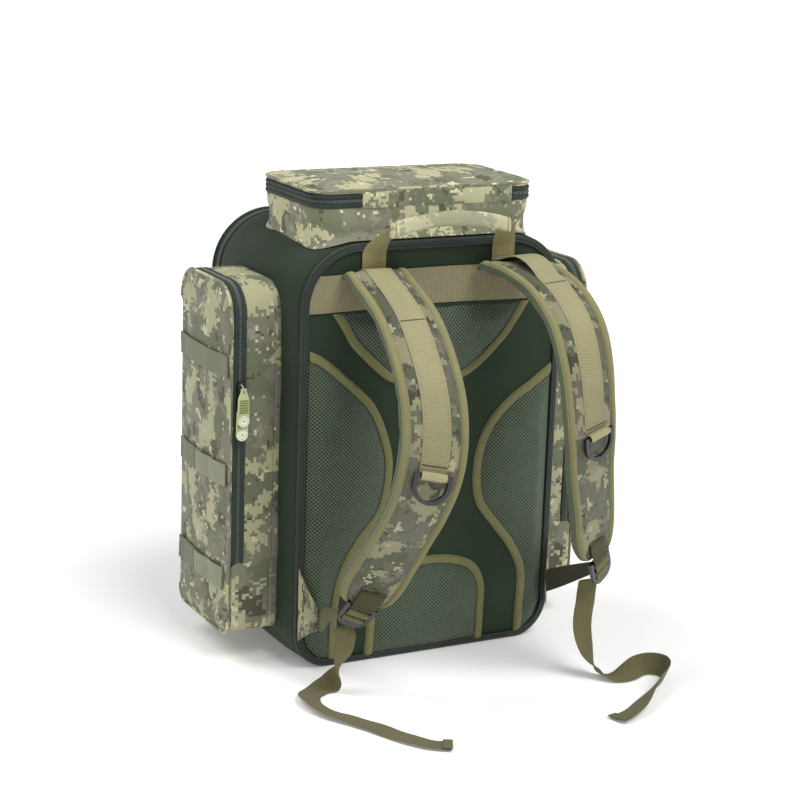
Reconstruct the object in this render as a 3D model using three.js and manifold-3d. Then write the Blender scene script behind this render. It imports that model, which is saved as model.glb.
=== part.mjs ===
// Tackle backpack: a box-shaped rucksack with a clamshell front, zipped side, top and front pockets,
// a padded mesh back panel and two shoulder straps whose loose tails lie on the ground.
// Millimetres. +Z is up, the harness side faces -Y, and left and right are as seen from the harness side.
// The origin is on the flat base, midway between the sides and 116 mm in front of the back panel.
import * as THREE from "three";
import { mergeVertices } from "three/addons/utils/BufferGeometryUtils.js";
import Module from "manifold-3d";

const wasm = await Module();
wasm.setup();

// ---- driving dimensions ----
const GAP = 0.3;
const BODY = { width: 320, depth: 241, height: 472, topRadius: 68, bottomRadius: 44, wall: 6 };
const HARNESS_Y = -116;
const FRONT_Y = HARNESS_Y + BODY.depth;
const PANEL_THICK = 6;
const LID_THICK = 10;
const ZIP_BAND = 8;
const LID_FOLD_Z = 52;
const PIPING = { width: 4, proud: 3, depth: 9 };

const SIDE_POCKET = {
  width: 140, bottom: 34, top: 424, depth: 61, centreY: -2, topRadius: 34, bottomRadius: 16,
  foldZ: 116, wall: 3, zipBand: 14, faceThick: 4,
};
const FRONT_POCKET = {
  width: 230, bottom: 84, top: 334, depth: 38, topRadius: 28, bottomRadius: 18,
  foldZ: 116, wall: 3, zipBand: 12, faceThick: 4,
};
const MOLLE = { width: 128, height: 25, thick: 1.8, levels: [324, 203, 86] };

const TAB = { lift: 5.8, thick: 2.5 };

const TOP_POCKET = {
  xMin: -137, xMax: 131, yMin: -98, yMax: 48, corner: 24, wall: 3.5,
  top: 527, lidThick: 5, zipBand: 14, hingeMinX: -83, hingeMaxX: 100,
};

const MESH_PAD_THICK = 6;
const YOKE = { bottom: 401, height: 40, thick: 2 };
const ROOT_TAB = { width: 56, height: 11, out: 4, z: 438, x: 80 };
const HANDLE = { width: 28, leftX: -77, rightX: 81, rootZ: 454, gripZ: 492, gripOut: 29 };
const GRIP = { left: -62, right: 66, height: 24, thick: 12 };

const STRAP = { width: 70, thick: 14, webbing: 30, webbingThick: 1.8, seam: 0.9, steps: 26 };
const TAIL = { width: 25, thick: 1.6 };
const BUCKLE = { width: 38, length: 31, thick: 4 };
const D_RING = { width: 42, length: 32, bar: 4.5, thick: 4 };
const KEEPER = { width: 28, outer: 8.4, wall: 1 };

// The line where each shoulder pad meets its webbing, from the panel down to the buckle, the angle of
// the strap's width to the X axis along it, and where its lower webbing is sewn to the corner patch.
const HARNESS = {
  left: {
    face: [
      [-80, -134, 446], [-79, -204, 413], [-82, -254, 370], [-88, -286, 333], [-95, -302, 292],
      [-103, -302, 252], [-108, -284, 213], [-111, -258, 178], [-116, -238, 147], [-122, -222, 116],
    ],
    turn: [0, -8, -10, -16],
    ringAt: 0.595,
    buckle: [-132, -206, 92],
    tip: [-137, -130, 61],
  },
  right: {
    face: [
      [80, -134, 449], [86, -172, 447], [93, -212, 434], [96, -254, 405], [94, -283, 364],
      [96, -292, 320], [103, -288, 281], [110, -281, 245], [117, -278, 204], [121, -275, 160],
    ],
    turn: [0, 6, 16, 27],
    ringAt: 0.66,
    buckle: [131, -270, 132],
    tip: [146, -138, 72],
  },
};

// The routes of the loose tails, from the buckle down to the ground and along it, and the shares of that
// length between which each one turns to lie flat.
const TAIL_TURN = { left: [0.08, 0.28], right: [0.26, 0.42] };
const TAILS = {
  left: [
    [-137, -191, 76], [-137, -194, 63], [-138, -194, 48], [-140, -191, 33], [-144, -187, 17],
    [-151, -183, 6], [-162, -182, 1.8], [-174, -189, 1.2], [-182, -205, 1.2], [-183, -227, 1.2],
    [-175, -249, 1.2], [-163, -268, 1.2], [-151, -289, 1.2], [-140, -313, 1.2], [-128, -338, 1.2],
    [-113, -357, 1.2], [-98, -366, 1.2],
  ],
  right: [
    [129, -251, 113], [128, -250, 97], [126, -250, 78], [125, -250, 58], [128, -252, 40],
    [134, -256, 22], [141, -263, 8], [150, -271, 2.2], [161, -276, 1.2], [175, -275, 1.2],
    [189, -271, 1.2], [202, -274, 1.2], [209, -286, 1.2], [205, -301, 1.2], [193, -314, 1.2],
    [175, -327, 1.2], [154, -341, 1.2], [130, -360, 1.2], [108, -371, 1.2], [92, -376, 1.2],
  ],
};

const COLOURS = {
  green: [0x46, 0x52, 0x48], camo: [0x8a, 0x86, 0x72], webbing: [0xa8, 0xa1, 0x7c],
  olive: [0x73, 0x70, 0x4b], mesh: [0x55, 0x64, 0x50], zip: [0x3c, 0x48, 0x3e],
  plastic: [0x4b, 0x4b, 0x55], metal: [0x58, 0x58, 0x58], rubber: [0x93, 0x9c, 0x6a],
  board: [0x30, 0x32, 0x30], foam: [0x6e, 0x7d, 0x70],
};

const backpack = new THREE.Group();

// ---- helpers ----
function material(name) {
  const [r, g, b] = COLOURS[name];
  const metal = name === "metal";
  return new THREE.MeshStandardMaterial({
    color: new THREE.Color(r / 255, g / 255, b / 255),
    roughness: metal || name === "plastic" ? 0.4 : 0.85,
    metalness: metal ? 1 : 0,
  });
}

function add(parent, name, geometry, colour) {
  const mesh = new THREE.Mesh(geometry, material(colour));
  mesh.name = name;
  parent.add(mesh);
  return mesh;
}

function solid(geometry) {
  const bare = geometry.index ? geometry.toNonIndexed() : geometry.clone();
  bare.deleteAttribute("normal");
  bare.deleteAttribute("uv");
  const merged = mergeVertices(bare, 1e-4);
  return new wasm.Manifold(new wasm.Mesh({
    numProp: 3,
    vertProperties: merged.attributes.position.array,
    triVerts: new Uint32Array(merged.index.array),
  }));
}

function geometryOf(manifold) {
  const mesh = manifold.getMesh();
  const geometry = new THREE.BufferGeometry();
  geometry.setAttribute("position", new THREE.BufferAttribute(mesh.vertProperties, 3));
  geometry.setIndex(new THREE.BufferAttribute(mesh.triVerts, 1));
  return geometry;
}

function cut(geometry, ...tools) {
  return geometryOf(tools.reduce((body, tool) => body.subtract(solid(tool)), solid(geometry)));
}

function clip(geometry, space) {
  return geometryOf(solid(geometry).intersect(solid(space)));
}

function join(...geometries) {
  return geometryOf(geometries.map(solid).reduce((body, other) => body.add(other)));
}

function box(x0, x1, y0, y1, z0, z1) {
  const geometry = new THREE.BoxGeometry(x1 - x0, y1 - y0, z1 - z0);
  return geometry.translate((x0 + x1) / 2, (y0 + y1) / 2, (z0 + z1) / 2);
}

function extrude(shape, from, to, curveSegments = 6) {
  const geometry = new THREE.ExtrudeGeometry(shape, {
    depth: to - from, bevelEnabled: false, steps: 1, curveSegments,
  });
  return geometry.translate(0, 0, from);
}

// A shape drawn in X and Z, extruded from y0 to y1.
function extrudeAlongY(shape, y0, y1, curveSegments = 6) {
  return extrude(shape, -y1, -y0, curveSegments).rotateX(Math.PI / 2);
}

// A rectangle with one radius at its two upper corners and another at its two lower corners.
function panelPath(path, xMin, xMax, bottom, top, bottomRadius, topRadius) {
  const right = -Math.PI / 2;
  path.moveTo(xMin + bottomRadius, bottom);
  path.lineTo(xMax - bottomRadius, bottom);
  if (bottomRadius > 0) path.absarc(xMax - bottomRadius, bottom + bottomRadius, bottomRadius, right, 0);
  path.lineTo(xMax, top - topRadius);
  path.absarc(xMax - topRadius, top - topRadius, topRadius, 0, Math.PI / 2);
  path.lineTo(xMin + topRadius, top);
  path.absarc(xMin + topRadius, top - topRadius, topRadius, Math.PI / 2, Math.PI);
  path.lineTo(xMin, bottom + bottomRadius);
  if (bottomRadius > 0) {
    path.absarc(xMin + bottomRadius, bottom + bottomRadius, bottomRadius, Math.PI, 1.5 * Math.PI);
  }
  return path;
}

function panelShape(xMin, xMax, bottom, top, bottomRadius, topRadius) {
  return panelPath(new THREE.Shape(), xMin, xMax, bottom, top, bottomRadius, topRadius);
}

// The body's outline in X and Z, pulled in by inset.
function bodyShape(inset, bottom = inset) {
  const half = BODY.width / 2 - inset;
  const bottomRadius = bottom > BODY.bottomRadius ? 0 : BODY.bottomRadius - inset;
  return panelShape(-half, half, bottom, BODY.height - inset, bottomRadius, BODY.topRadius - inset);
}

// An upside-down U of constant thickness, open at its foot.
function archShape(halfWidth, foot, top, radius, thick) {
  const inner = halfWidth - thick;
  const shape = new THREE.Shape();
  shape.moveTo(halfWidth, foot);
  shape.lineTo(halfWidth, top - radius);
  shape.absarc(halfWidth - radius, top - radius, radius, 0, Math.PI / 2);
  shape.lineTo(radius - halfWidth, top);
  shape.absarc(radius - halfWidth, top - radius, radius, Math.PI / 2, Math.PI);
  shape.lineTo(-halfWidth, foot);
  shape.lineTo(-inner, foot);
  shape.lineTo(-inner, top - radius);
  shape.absarc(radius - halfWidth, top - radius, radius - thick, Math.PI, Math.PI / 2, true);
  shape.lineTo(halfWidth - radius, top - thick);
  shape.absarc(halfWidth - radius, top - radius, radius - thick, Math.PI / 2, 0, true);
  shape.lineTo(inner, foot);
  return shape;
}

// A straight bar of the given section bent along frames: frameAt(u) gives point, side and up vectors,
// and a scale of the section's width.
function bend(section, frameAt, steps) {
  const geometry = new THREE.ExtrudeGeometry(section, { depth: 1, steps, bevelEnabled: false });
  const position = geometry.attributes.position;
  const target = new THREE.Vector3();
  for (let i = 0; i < position.count; i += 1) {
    const frame = frameAt(THREE.MathUtils.clamp(position.getZ(i), 0, 1));
    target.copy(frame.point);
    target.addScaledVector(frame.side, position.getX(i) * (frame.scale ?? 1));
    target.addScaledVector(frame.up, position.getY(i));
    position.setXYZ(i, target.x, target.y, target.z);
  }
  return geometry;
}

// A flat section with clipped corners, between the heights low and high.
function bandSection(width, low, high, clip = 0.25) {
  const x = width / 2;
  const c = (high - low) * clip;
  const shape = new THREE.Shape();
  const corners = [
    [-x + c, low], [x - c, low], [x, low + c], [x, high - c],
    [x - c, high], [-x + c, high], [-x, high - c], [-x, low + c],
  ];
  shape.setFromPoints(corners.map(([px, py]) => new THREE.Vector2(px, py)));
  return shape;
}

function curveThrough(points) {
  return new THREE.CatmullRomCurve3(points.map((p) => new THREE.Vector3(...p)), false, "centripetal");
}

// ---- body ----
function makeBody() {
  const outer = extrudeAlongY(bodyShape(0), HARNESS_Y + PANEL_THICK + GAP, FRONT_Y);
  const hollow = extrudeAlongY(bodyShape(BODY.wall), HARNESS_Y, FRONT_Y - BODY.wall);
  const zipY = FRONT_Y - LID_THICK - ZIP_BAND;
  const mouth = box(-200, 200, zipY, FRONT_Y + 10, LID_FOLD_Z, BODY.height + 10);
  add(backpack, "main_shell", cut(outer, hollow, mouth), "green");

  const panelInset = PIPING.width + GAP;
  const panel = extrudeAlongY(bodyShape(panelInset), HARNESS_Y, HARNESS_Y + PANEL_THICK);
  add(backpack, "back_panel", panel, "green");
  const pipingShape = bodyShape(0);
  pipingShape.holes.push(bodyShape(PIPING.width));
  const pipingY = HARNESS_Y - PIPING.proud;
  add(backpack, "back_piping", extrudeAlongY(pipingShape, pipingY, pipingY + PIPING.depth), "zip");

  const boardY = HARNESS_Y + PANEL_THICK + GAP;
  const boardShape = panelShape(-146, 146, 14, BODY.height - 14, 30, 54);
  add(backpack, "back_board", extrudeAlongY(boardShape, boardY, boardY + 3), "board");
  const baseZ = BODY.wall + GAP;
  add(backpack, "base_board", box(-108, 108, boardY + 5, FRONT_Y - 10, baseZ, baseZ + 3), "board");

  const band = archShape(
    BODY.width / 2 + 0.8, LID_FOLD_Z + GAP, BODY.height + 0.8, BODY.topRadius + 0.8, 5.8,
  );
  add(backpack, "main_zip", extrudeAlongY(band, zipY + GAP, zipY + ZIP_BAND - GAP), "zip");
  const lid = extrudeAlongY(bodyShape(0, LID_FOLD_Z + GAP), FRONT_Y - LID_THICK, FRONT_Y);
  add(backpack, "front_panel", lid, "green");
}

// ---- a zipped box pocket, drawn with x across, y up and z outwards ----
function makePocket(frame, prefix, size, baseZ) {
  const half = size.width / 2;
  const outline = (inset) => panelShape(
    -half + inset, half - inset, size.bottom + inset, size.top - inset,
    size.bottomRadius - inset, size.topRadius - inset,
  );
  const zipStart = size.depth - size.faceThick - size.zipBand;
  const block = extrude(outline(0), baseZ + GAP, baseZ + size.depth);
  const hollow = extrude(outline(size.wall), baseZ - 1, baseZ + size.depth - size.faceThick);
  const mouth = box(
    -half - 5, half + 5, size.foldZ, size.top + 5, baseZ + zipStart, baseZ + size.depth + 5,
  );
  add(frame, `${prefix}_pocket_shell`, cut(block, hollow, mouth), "camo");

  const arch = archShape(half + 0.8, size.foldZ + GAP, size.top + 0.8, size.topRadius + 0.8, 3.8);
  const zip = extrude(arch, baseZ + zipStart + GAP, baseZ + zipStart + size.zipBand - GAP);
  add(frame, `${prefix}_pocket_zip`, zip, "zip");

  const flapShape = panelShape(-half, half, size.foldZ + GAP, size.top, 0, size.topRadius);
  const flap = extrude(flapShape, baseZ + size.depth - size.faceThick, baseZ + size.depth);
  add(frame, `${prefix}_pocket_flap`, flap, "camo");
}

function outwardFrame(parent, turn) {
  const heading = new THREE.Group();
  heading.rotation.z = turn;
  const upright = new THREE.Group();
  upright.rotation.x = Math.PI / 2;
  heading.add(upright);
  parent.add(heading);
  return { heading, upright };
}

function makeSidePocket(side) {
  const sign = side === "left" ? -1 : 1;
  const { heading, upright } = outwardFrame(backpack, (sign * Math.PI) / 2);
  heading.position.y = SIDE_POCKET.centreY;
  makePocket(upright, side, SIDE_POCKET, BODY.width / 2);
  const faceZ = BODY.width / 2 + SIDE_POCKET.depth + GAP;
  const names = ["upper", "middle", "lower"];
  MOLLE.levels.forEach((level, i) => {
    const strap = box(
      -MOLLE.width / 2, MOLLE.width / 2, level, level + MOLLE.height, faceZ, faceZ + MOLLE.thick,
    );
    add(upright, `${side}_molle_${names[i]}`, strap, "webbing");
  });
}

function makeFrontPocket() {
  const { upright } = outwardFrame(backpack, Math.PI);
  makePocket(upright, "front", FRONT_POCKET, FRONT_Y);
}

// ---- top pocket ----
function makeTopPocket() {
  const { xMin, xMax, yMin, yMax, corner, wall, top, lidThick, zipBand } = TOP_POCKET;
  const ring = (grow, inset, z0, z1) => {
    const shape = panelShape(xMin - grow, xMax + grow, yMin - grow, yMax + grow, corner, corner);
    const inner = new THREE.Path();
    panelPath(inner, xMin + inset, xMax - inset, yMin + inset, yMax - inset, corner - wall, corner - wall);
    shape.holes.push(inner);
    return extrude(shape, z0, z1);
  };
  const lidZ = top - lidThick;
  const bandZ = lidZ - GAP - zipBand;
  const wallTall = ring(0, wall, BODY.height - 22, lidZ - GAP);
  const bodySolid = extrudeAlongY(bodyShape(-GAP, 0), HARNESS_Y - 20, FRONT_Y + 20, 24);
  const bandSpace = box(xMin - 5, xMax + 5, yMin - 5, yMax + 5, bandZ - GAP, lidZ + 5);
  const hingeWall = box(
    TOP_POCKET.hingeMinX, TOP_POCKET.hingeMaxX, yMin, yMin + wall, bandZ - 2, lidZ - GAP,
  );
  const shell = join(cut(wallTall, bodySolid, bandSpace), hingeWall);
  add(backpack, "top_pocket_shell", shell, "camo");
  const gapForHinge = box(
    TOP_POCKET.hingeMinX - GAP, TOP_POCKET.hingeMaxX + GAP, yMin - 5, yMin + wall + 5, bandZ - 5, top,
  );
  add(backpack, "top_pocket_zip", cut(ring(0.8, wall - 0.5, bandZ, lidZ - GAP), gapForHinge), "zip");
  const lid = extrude(panelShape(xMin, xMax, yMin, yMax, corner, corner), lidZ, top);
  add(backpack, "top_lid", lid, "camo");
}

// ---- zip sliders, drawn with x along the zip, y across it and z away from the cloth ----
function makeSlider(frame, prefix, extraLift = 0) {
  const shape = new THREE.Shape();
  const outline = [[-7, -3], [-4, -4.5], [4, -4.5], [7, -2.5], [7, 2.5], [4, 4.5], [-4, 4.5], [-7, 3]];
  shape.setFromPoints(outline.map(([x, y]) => new THREE.Vector2(x, y)));
  add(frame, `${prefix}_slider`, extrude(shape, 0, 4.5), "metal");
  const tab = new THREE.Shape();
  tab.moveTo(-1, -3);
  tab.lineTo(2, -3);
  tab.lineTo(2, 3);
  tab.lineTo(-1, 3);
  tab.lineTo(-9, 6);
  tab.lineTo(-34, 6.5);
  tab.absarc(-34, 0, 6.5, Math.PI / 2, 1.5 * Math.PI);
  tab.lineTo(-9, -6);
  add(frame, `${prefix}_tab`, extrude(tab, TAB.lift + extraLift, TAB.lift + TAB.thick + extraLift, 4), "rubber");
}

// A frame at a point, with x along the zip and z away from the cloth.
function zipFrame(point, along, away) {
  const frame = new THREE.Group();
  const x = new THREE.Vector3(...along);
  const z = new THREE.Vector3(...away);
  const y = new THREE.Vector3().crossVectors(z, x);
  frame.quaternion.setFromRotationMatrix(new THREE.Matrix4().makeBasis(x, y, z));
  frame.position.set(...point);
  backpack.add(frame);
  return frame;
}

function makeSliders() {
  const zipX = BODY.width / 2 + SIDE_POCKET.depth - SIDE_POCKET.faceThick - SIDE_POCKET.zipBand / 2;
  const gussetY = SIDE_POCKET.centreY - SIDE_POCKET.width / 2 - 0.8 - GAP;
  for (const [side, x] of [["left", -zipX], ["right", zipX]]) {
    makeSlider(zipFrame([x, gussetY, 314], [0, 0, 1], [0, -1, 0]), `${side}_zip_upper`, 3.2);
    makeSlider(zipFrame([x, gussetY, 298], [0, 0, 1], [0, -1, 0]), `${side}_zip_lower`);
  }
  const topZ = TOP_POCKET.top - TOP_POCKET.lidThick - GAP - TOP_POCKET.zipBand / 2;
  const topY = TOP_POCKET.yMax + 0.8 + GAP;
  makeSlider(zipFrame([-6, topY, topZ], [1, 0, 0], [0, 1, 0]), "top_zip");
  const mainY = FRONT_Y - LID_THICK - ZIP_BAND / 2;
  makeSlider(zipFrame([0, mainY, BODY.height + 0.8 + GAP], [1, 0, 0], [0, 0, 1]), "main_zip");
  const frontY = FRONT_Y + FRONT_POCKET.depth - FRONT_POCKET.faceThick - FRONT_POCKET.zipBand / 2;
  const frontTop = FRONT_POCKET.top + 0.8 + GAP;
  makeSlider(zipFrame([0, frontY, frontTop], [1, 0, 0], [0, 0, 1]), "front_zip");
}

// ---- back panel pads, yoke and carry handle ----
function padShape(start, spline, end) {
  const shape = new THREE.Shape();
  shape.moveTo(...start);
  shape.splineThru(spline.map(([x, z]) => new THREE.Vector2(x, z)));
  for (const [x, z] of end) shape.lineTo(x, z);
  return shape;
}

function makeBackPads() {
  const y1 = HARNESS_Y - GAP;
  const y0 = y1 - MESH_PAD_THICK;
  const shieldCurve = [
    [105, 378], [92, 360], [72, 340], [54, 325], [30, 313], [0, 308],
    [-32, 312], [-56, 320], [-70, 331], [-86, 346], [-101, 362], [-112, 380], [-124, 398],
  ];
  add(backpack, "mesh_pad_top", extrudeAlongY(padShape([118, 398], shieldCurve, []), y0, y1, 3), "mesh");

  const wings = {
    left: {
      top: [-150, 360],
      curve: [
        [-134, 352], [-110, 333], [-90, 315], [-71, 295], [-56, 265], [-47, 232], [-48, 200],
        [-57, 168], [-80, 140], [-99, 108], [-108, 72], [-110, 38], [-110, 8],
      ],
      corner: [[-130, 11], [-143, 23], [-150, 42]],
    },
    right: {
      top: [150, 324],
      curve: [
        [124, 306], [96, 288], [74, 266], [60, 238], [55, 205], [60, 170],
        [80, 142], [104, 112], [118, 82], [118, 40], [117, 8],
      ],
      corner: [[130, 11], [143, 23], [150, 42]],
    },
  };
  for (const [name, wing] of Object.entries(wings)) {
    const shape = padShape(wing.top, wing.curve, wing.corner);
    add(backpack, `mesh_pad_${name}`, extrudeAlongY(shape, y0, y1, 3), "mesh");
  }
  const archCurve = [
    [76, 40], [75, 74], [62, 98], [36, 110], [0, 114],
    [-36, 110], [-60, 98], [-71, 74], [-73, 40], [-75, 6],
  ];
  add(backpack, "mesh_pad_bottom", extrudeAlongY(padShape([75, 6], archCurve, []), y0, y1, 3), "mesh");
}

function makeYoke() {
  const y1 = HARNESS_Y - GAP;
  const band = box(-153, 153, y1 - YOKE.thick, y1, YOKE.bottom, YOKE.bottom + YOKE.height);
  const tabs = [-ROOT_TAB.x, ROOT_TAB.x].map((x) => box(
    x - ROOT_TAB.width / 2, x + ROOT_TAB.width / 2, y1 - ROOT_TAB.out, y1,
    ROOT_TAB.z - ROOT_TAB.height / 2, ROOT_TAB.z + ROOT_TAB.height / 2,
  ));
  const inside = extrudeAlongY(bodyShape(PIPING.width + GAP), y1 - 20, y1 + 1);
  add(backpack, "yoke_webbing", clip(join(band, ...tabs), inside), "webbing");
}

// A three-cornered cloth tab standing a little off the panel, with the strap's lower webbing at its tip.
function makeCornerPatches() {
  for (const [side, sign] of [["left", -1], ["right", 1]]) {
    const [tipX, tipY, tipZ] = HARNESS[side].tip;
    const rootX = sign * 158;
    const rootY = HARNESS_Y - PIPING.proud - 2;
    const away = new THREE.Vector3(tipX - rootX, tipY - rootY, 0);
    const reach = away.length() - 3;
    const shape = new THREE.Shape();
    shape.moveTo(0, 36);
    shape.lineTo(reach, tipZ - 13);
    shape.lineTo(reach, tipZ + 13);
    shape.lineTo(0, 120);
    const patch = new THREE.Group();
    patch.position.set(rootX, rootY, 0);
    patch.rotation.z = Math.atan2(away.y, away.x);
    backpack.add(patch);
    add(patch, `${side}_corner_patch`, extrudeAlongY(shape, -1.2, 1.2), "camo");
  }
}

function makeHandle() {
  const { leftX, rightX, rootZ, gripZ, gripOut } = HANDLE;
  const rootY = HARNESS_Y - GAP - 1.2;
  const legs = [leftX, rightX].map((x) => {
    const curve = curveThrough([
      [x, rootY, rootZ], [x, rootY - 1, rootZ + 10], [x, rootY - 12, rootZ + 26],
      [x, HARNESS_Y - gripOut, gripZ - 2],
    ]);
    return bend(bandSection(HANDLE.width, -1, 1), (u) => {
      const side = new THREE.Vector3(1, 0, 0);
      const up = new THREE.Vector3().crossVectors(curve.getTangentAt(u), side).normalize();
      return { point: curve.getPointAt(u), side, up };
    }, 8);
  });
  const core = box(
    GRIP.left - 18, GRIP.right + 18, HARNESS_Y - gripOut - 1.5, HARNESS_Y - gripOut + 1.5,
    gripZ - 8, gripZ + 8,
  );
  add(backpack, "handle_webbing", join(...legs, core), "webbing");

  const shape = new THREE.Shape();
  const half = GRIP.height / 2;
  shape.moveTo(GRIP.left, gripZ - half);
  shape.quadraticCurveTo((GRIP.left + GRIP.right) / 2, gripZ - half + 6, GRIP.right, gripZ - half);
  shape.lineTo(GRIP.right, gripZ + half - 2);
  shape.quadraticCurveTo((GRIP.left + GRIP.right) / 2, gripZ + half + 6, GRIP.left, gripZ + half - 2);
  const y = HARNESS_Y - gripOut;
  const sleeve = extrudeAlongY(shape, y - GRIP.thick / 2, y + GRIP.thick / 2);
  const bore = box(
    GRIP.left - 30, GRIP.right + 30, y - 1.5 - GAP, y + 1.5 + GAP, gripZ - 8 - GAP, gripZ + 8 + GAP,
  );
  add(backpack, "handle_grip", cut(sleeve, bore), "camo");
}

// ---- shoulder straps ----
function strapFrames(spec) {
  const curve = curveThrough(spec.face);
  const turns = new THREE.CatmullRomCurve3(spec.turn.map((t, i) => new THREE.Vector3(i, t, 0)));
  return (u) => {
    const tangent = curve.getTangentAt(u);
    const turn = THREE.MathUtils.degToRad(turns.getPoint(u).y);
    const side = new THREE.Vector3(Math.cos(turn), Math.sin(turn), 0);
    side.addScaledVector(tangent, -side.dot(tangent)).normalize();
    const up = new THREE.Vector3().crossVectors(tangent, side).normalize();
    return { point: curve.getPointAt(u), tangent, side, up };
  };
}

// Places a piece drawn with x across the strap, y down along it and z away from the wearer.
function strapGroup(frame, lift) {
  const group = new THREE.Group();
  const across = frame.side.clone().negate();
  const basis = new THREE.Matrix4().makeBasis(across, frame.up.clone().cross(across), frame.up);
  group.quaternion.setFromRotationMatrix(basis);
  group.position.copy(frame.point).addScaledVector(frame.up, lift);
  backpack.add(group);
  return group;
}

function makeKeeper(frame) {
  const half = KEEPER.outer / 2;
  const hole = half - KEEPER.wall;
  const ring = new THREE.Shape();
  ring.setFromPoints([[-half, -half], [half, -half], [half, half], [-half, half]]
    .map(([x, y]) => new THREE.Vector2(x, y)));
  const inner = new THREE.Path();
  inner.setFromPoints([[-hole, -hole], [hole, -hole], [hole, hole], [-hole, hole]]
    .map(([x, y]) => new THREE.Vector2(x, y)));
  ring.holes.push(inner);
  const geometry = extrude(ring, -KEEPER.width / 2, KEEPER.width / 2);
  const along = frame.tangent;
  const centre = frame.point.clone().addScaledVector(frame.up, STRAP.webbingThick + half - 0.5);
  const basis = new THREE.Matrix4().makeBasis(along, frame.up, along.clone().cross(frame.up));
  return geometry.applyMatrix4(basis.setPosition(centre));
}

function makeStrap(side) {
  const spec = HARNESS[side];
  const frames = strapFrames(spec);
  const pad = bend(bandSection(STRAP.width, -STRAP.thick, -STRAP.seam), (u) => {
    const scale = 1 - 0.35 * THREE.MathUtils.smoothstep(u, 0.93, 1);
    return { ...frames(u), scale };
  }, STRAP.steps);
  add(backpack, `${side}_shoulder_pad`, pad, "camo");

  const webbing = bend(bandSection(STRAP.webbing, 0, STRAP.webbingThick), frames, STRAP.steps);
  const keeper = makeKeeper(frames(spec.ringAt));
  add(backpack, `${side}_strap_webbing`, join(webbing, keeper), "webbing");

  const ring = new THREE.Shape();
  const reach = D_RING.length - D_RING.width / 2;
  const half = D_RING.width / 2;
  ring.moveTo(-half, -D_RING.bar / 2);
  ring.lineTo(half, -D_RING.bar / 2);
  ring.lineTo(half, reach - D_RING.bar / 2);
  ring.absarc(0, reach - D_RING.bar / 2, half, 0, Math.PI);
  const hole = new THREE.Path();
  const inside = half - D_RING.bar;
  hole.moveTo(-inside, D_RING.bar / 2);
  hole.lineTo(inside, D_RING.bar / 2);
  hole.lineTo(inside, reach - D_RING.bar / 2);
  hole.absarc(0, reach - D_RING.bar / 2, inside, 0, Math.PI);
  ring.holes.push(hole);
  const ringGroup = strapGroup(frames(spec.ringAt), STRAP.webbingThick + KEEPER.outer / 2 - 0.5);
  add(ringGroup, `${side}_d_ring`, extrude(ring, -D_RING.thick / 2, D_RING.thick / 2), "plastic");

  makeBuckle(side, spec, frames(1));
}

function makeBuckle(side, spec, end) {
  const centre = new THREE.Vector3(...spec.buckle);
  const tip = new THREE.Vector3(...spec.tip);
  const along = centre.clone().sub(end.point).normalize();
  const across = end.side.clone().addScaledVector(along, -end.side.dot(along)).normalize();
  const up = new THREE.Vector3().crossVectors(along, across).normalize();
  const group = new THREE.Group();
  const flipped = across.clone().negate();
  const basis = new THREE.Matrix4().makeBasis(flipped, up.clone().cross(flipped), up);
  group.quaternion.setFromRotationMatrix(basis);
  group.position.copy(centre);
  backpack.add(group);

  const half = BUCKLE.width / 2;
  const low = BUCKLE.length / 2;
  const frame = new THREE.Shape();
  frame.moveTo(-half, -low);
  frame.lineTo(half, -low);
  frame.lineTo(half, low - 14);
  frame.absarc(half - 14, low - 14, 14, 0, Math.PI / 2);
  frame.lineTo(14 - half, low);
  frame.absarc(14 - half, low - 14, 14, Math.PI / 2, Math.PI);
  for (const [y0, y1] of [[-low + 4, -low + 9.5], [-low + 14.5, -low + 24]]) {
    const slot = new THREE.Path();
    slot.setFromPoints([[-14, y0], [14, y0], [14, y1], [-14, y1]].map(([x, y]) => new THREE.Vector2(x, y)));
    frame.holes.push(slot);
  }
  add(group, `${side}_buckle`, extrude(frame, -BUCKLE.thick / 2, BUCKLE.thick / 2, 4), "plastic");

  const start = centre.clone().addScaledVector(up, -BUCKLE.thick / 2 - 3.4).addScaledVector(along, 2);
  const reach = tip.clone().sub(start);
  const stop = start.clone().addScaledVector(reach, 1 - 5 / reach.length());
  const direction = reach.clone().normalize();
  const upright = new THREE.Vector3(0, 0, 1);
  const webbing = bend(bandSection(TAIL.width, -TAIL.thick / 2, TAIL.thick / 2), (u) => {
    const width = across.clone().lerp(upright, u * 0.9);
    width.addScaledVector(direction, -width.dot(direction)).normalize();
    const out = new THREE.Vector3().crossVectors(direction, width).normalize();
    return { point: start.clone().lerp(stop, u), side: width, up: out };
  }, 24);
  add(backpack, `${side}_lower_webbing`, webbing, "olive");
}

// A loose tail hangs with its width along X, and lies flat where it reaches the ground.
function makeTail(side) {
  const curve = curveThrough(TAILS[side]);
  const up = new THREE.Vector3(0, 0, 1);
  const across = new THREE.Vector3(1, 0, 0);
  const tail = bend(bandSection(TAIL.width, -TAIL.thick / 2, TAIL.thick / 2), (u) => {
    const tangent = curve.getTangentAt(u);
    const flat = new THREE.Vector3().crossVectors(tangent, up).multiplyScalar(side === "left" ? 1 : -1);
    const lying = THREE.MathUtils.smoothstep(u, ...TAIL_TURN[side]);
    const width = across.clone().multiplyScalar(1 - lying).addScaledVector(flat.normalize(), lying);
    width.addScaledVector(tangent, -width.dot(tangent)).normalize();
    return { point: curve.getPointAt(u), side: width, up: new THREE.Vector3().crossVectors(tangent, width) };
  }, 60);
  add(backpack, `${side}_tail`, tail, "olive");
}

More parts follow.
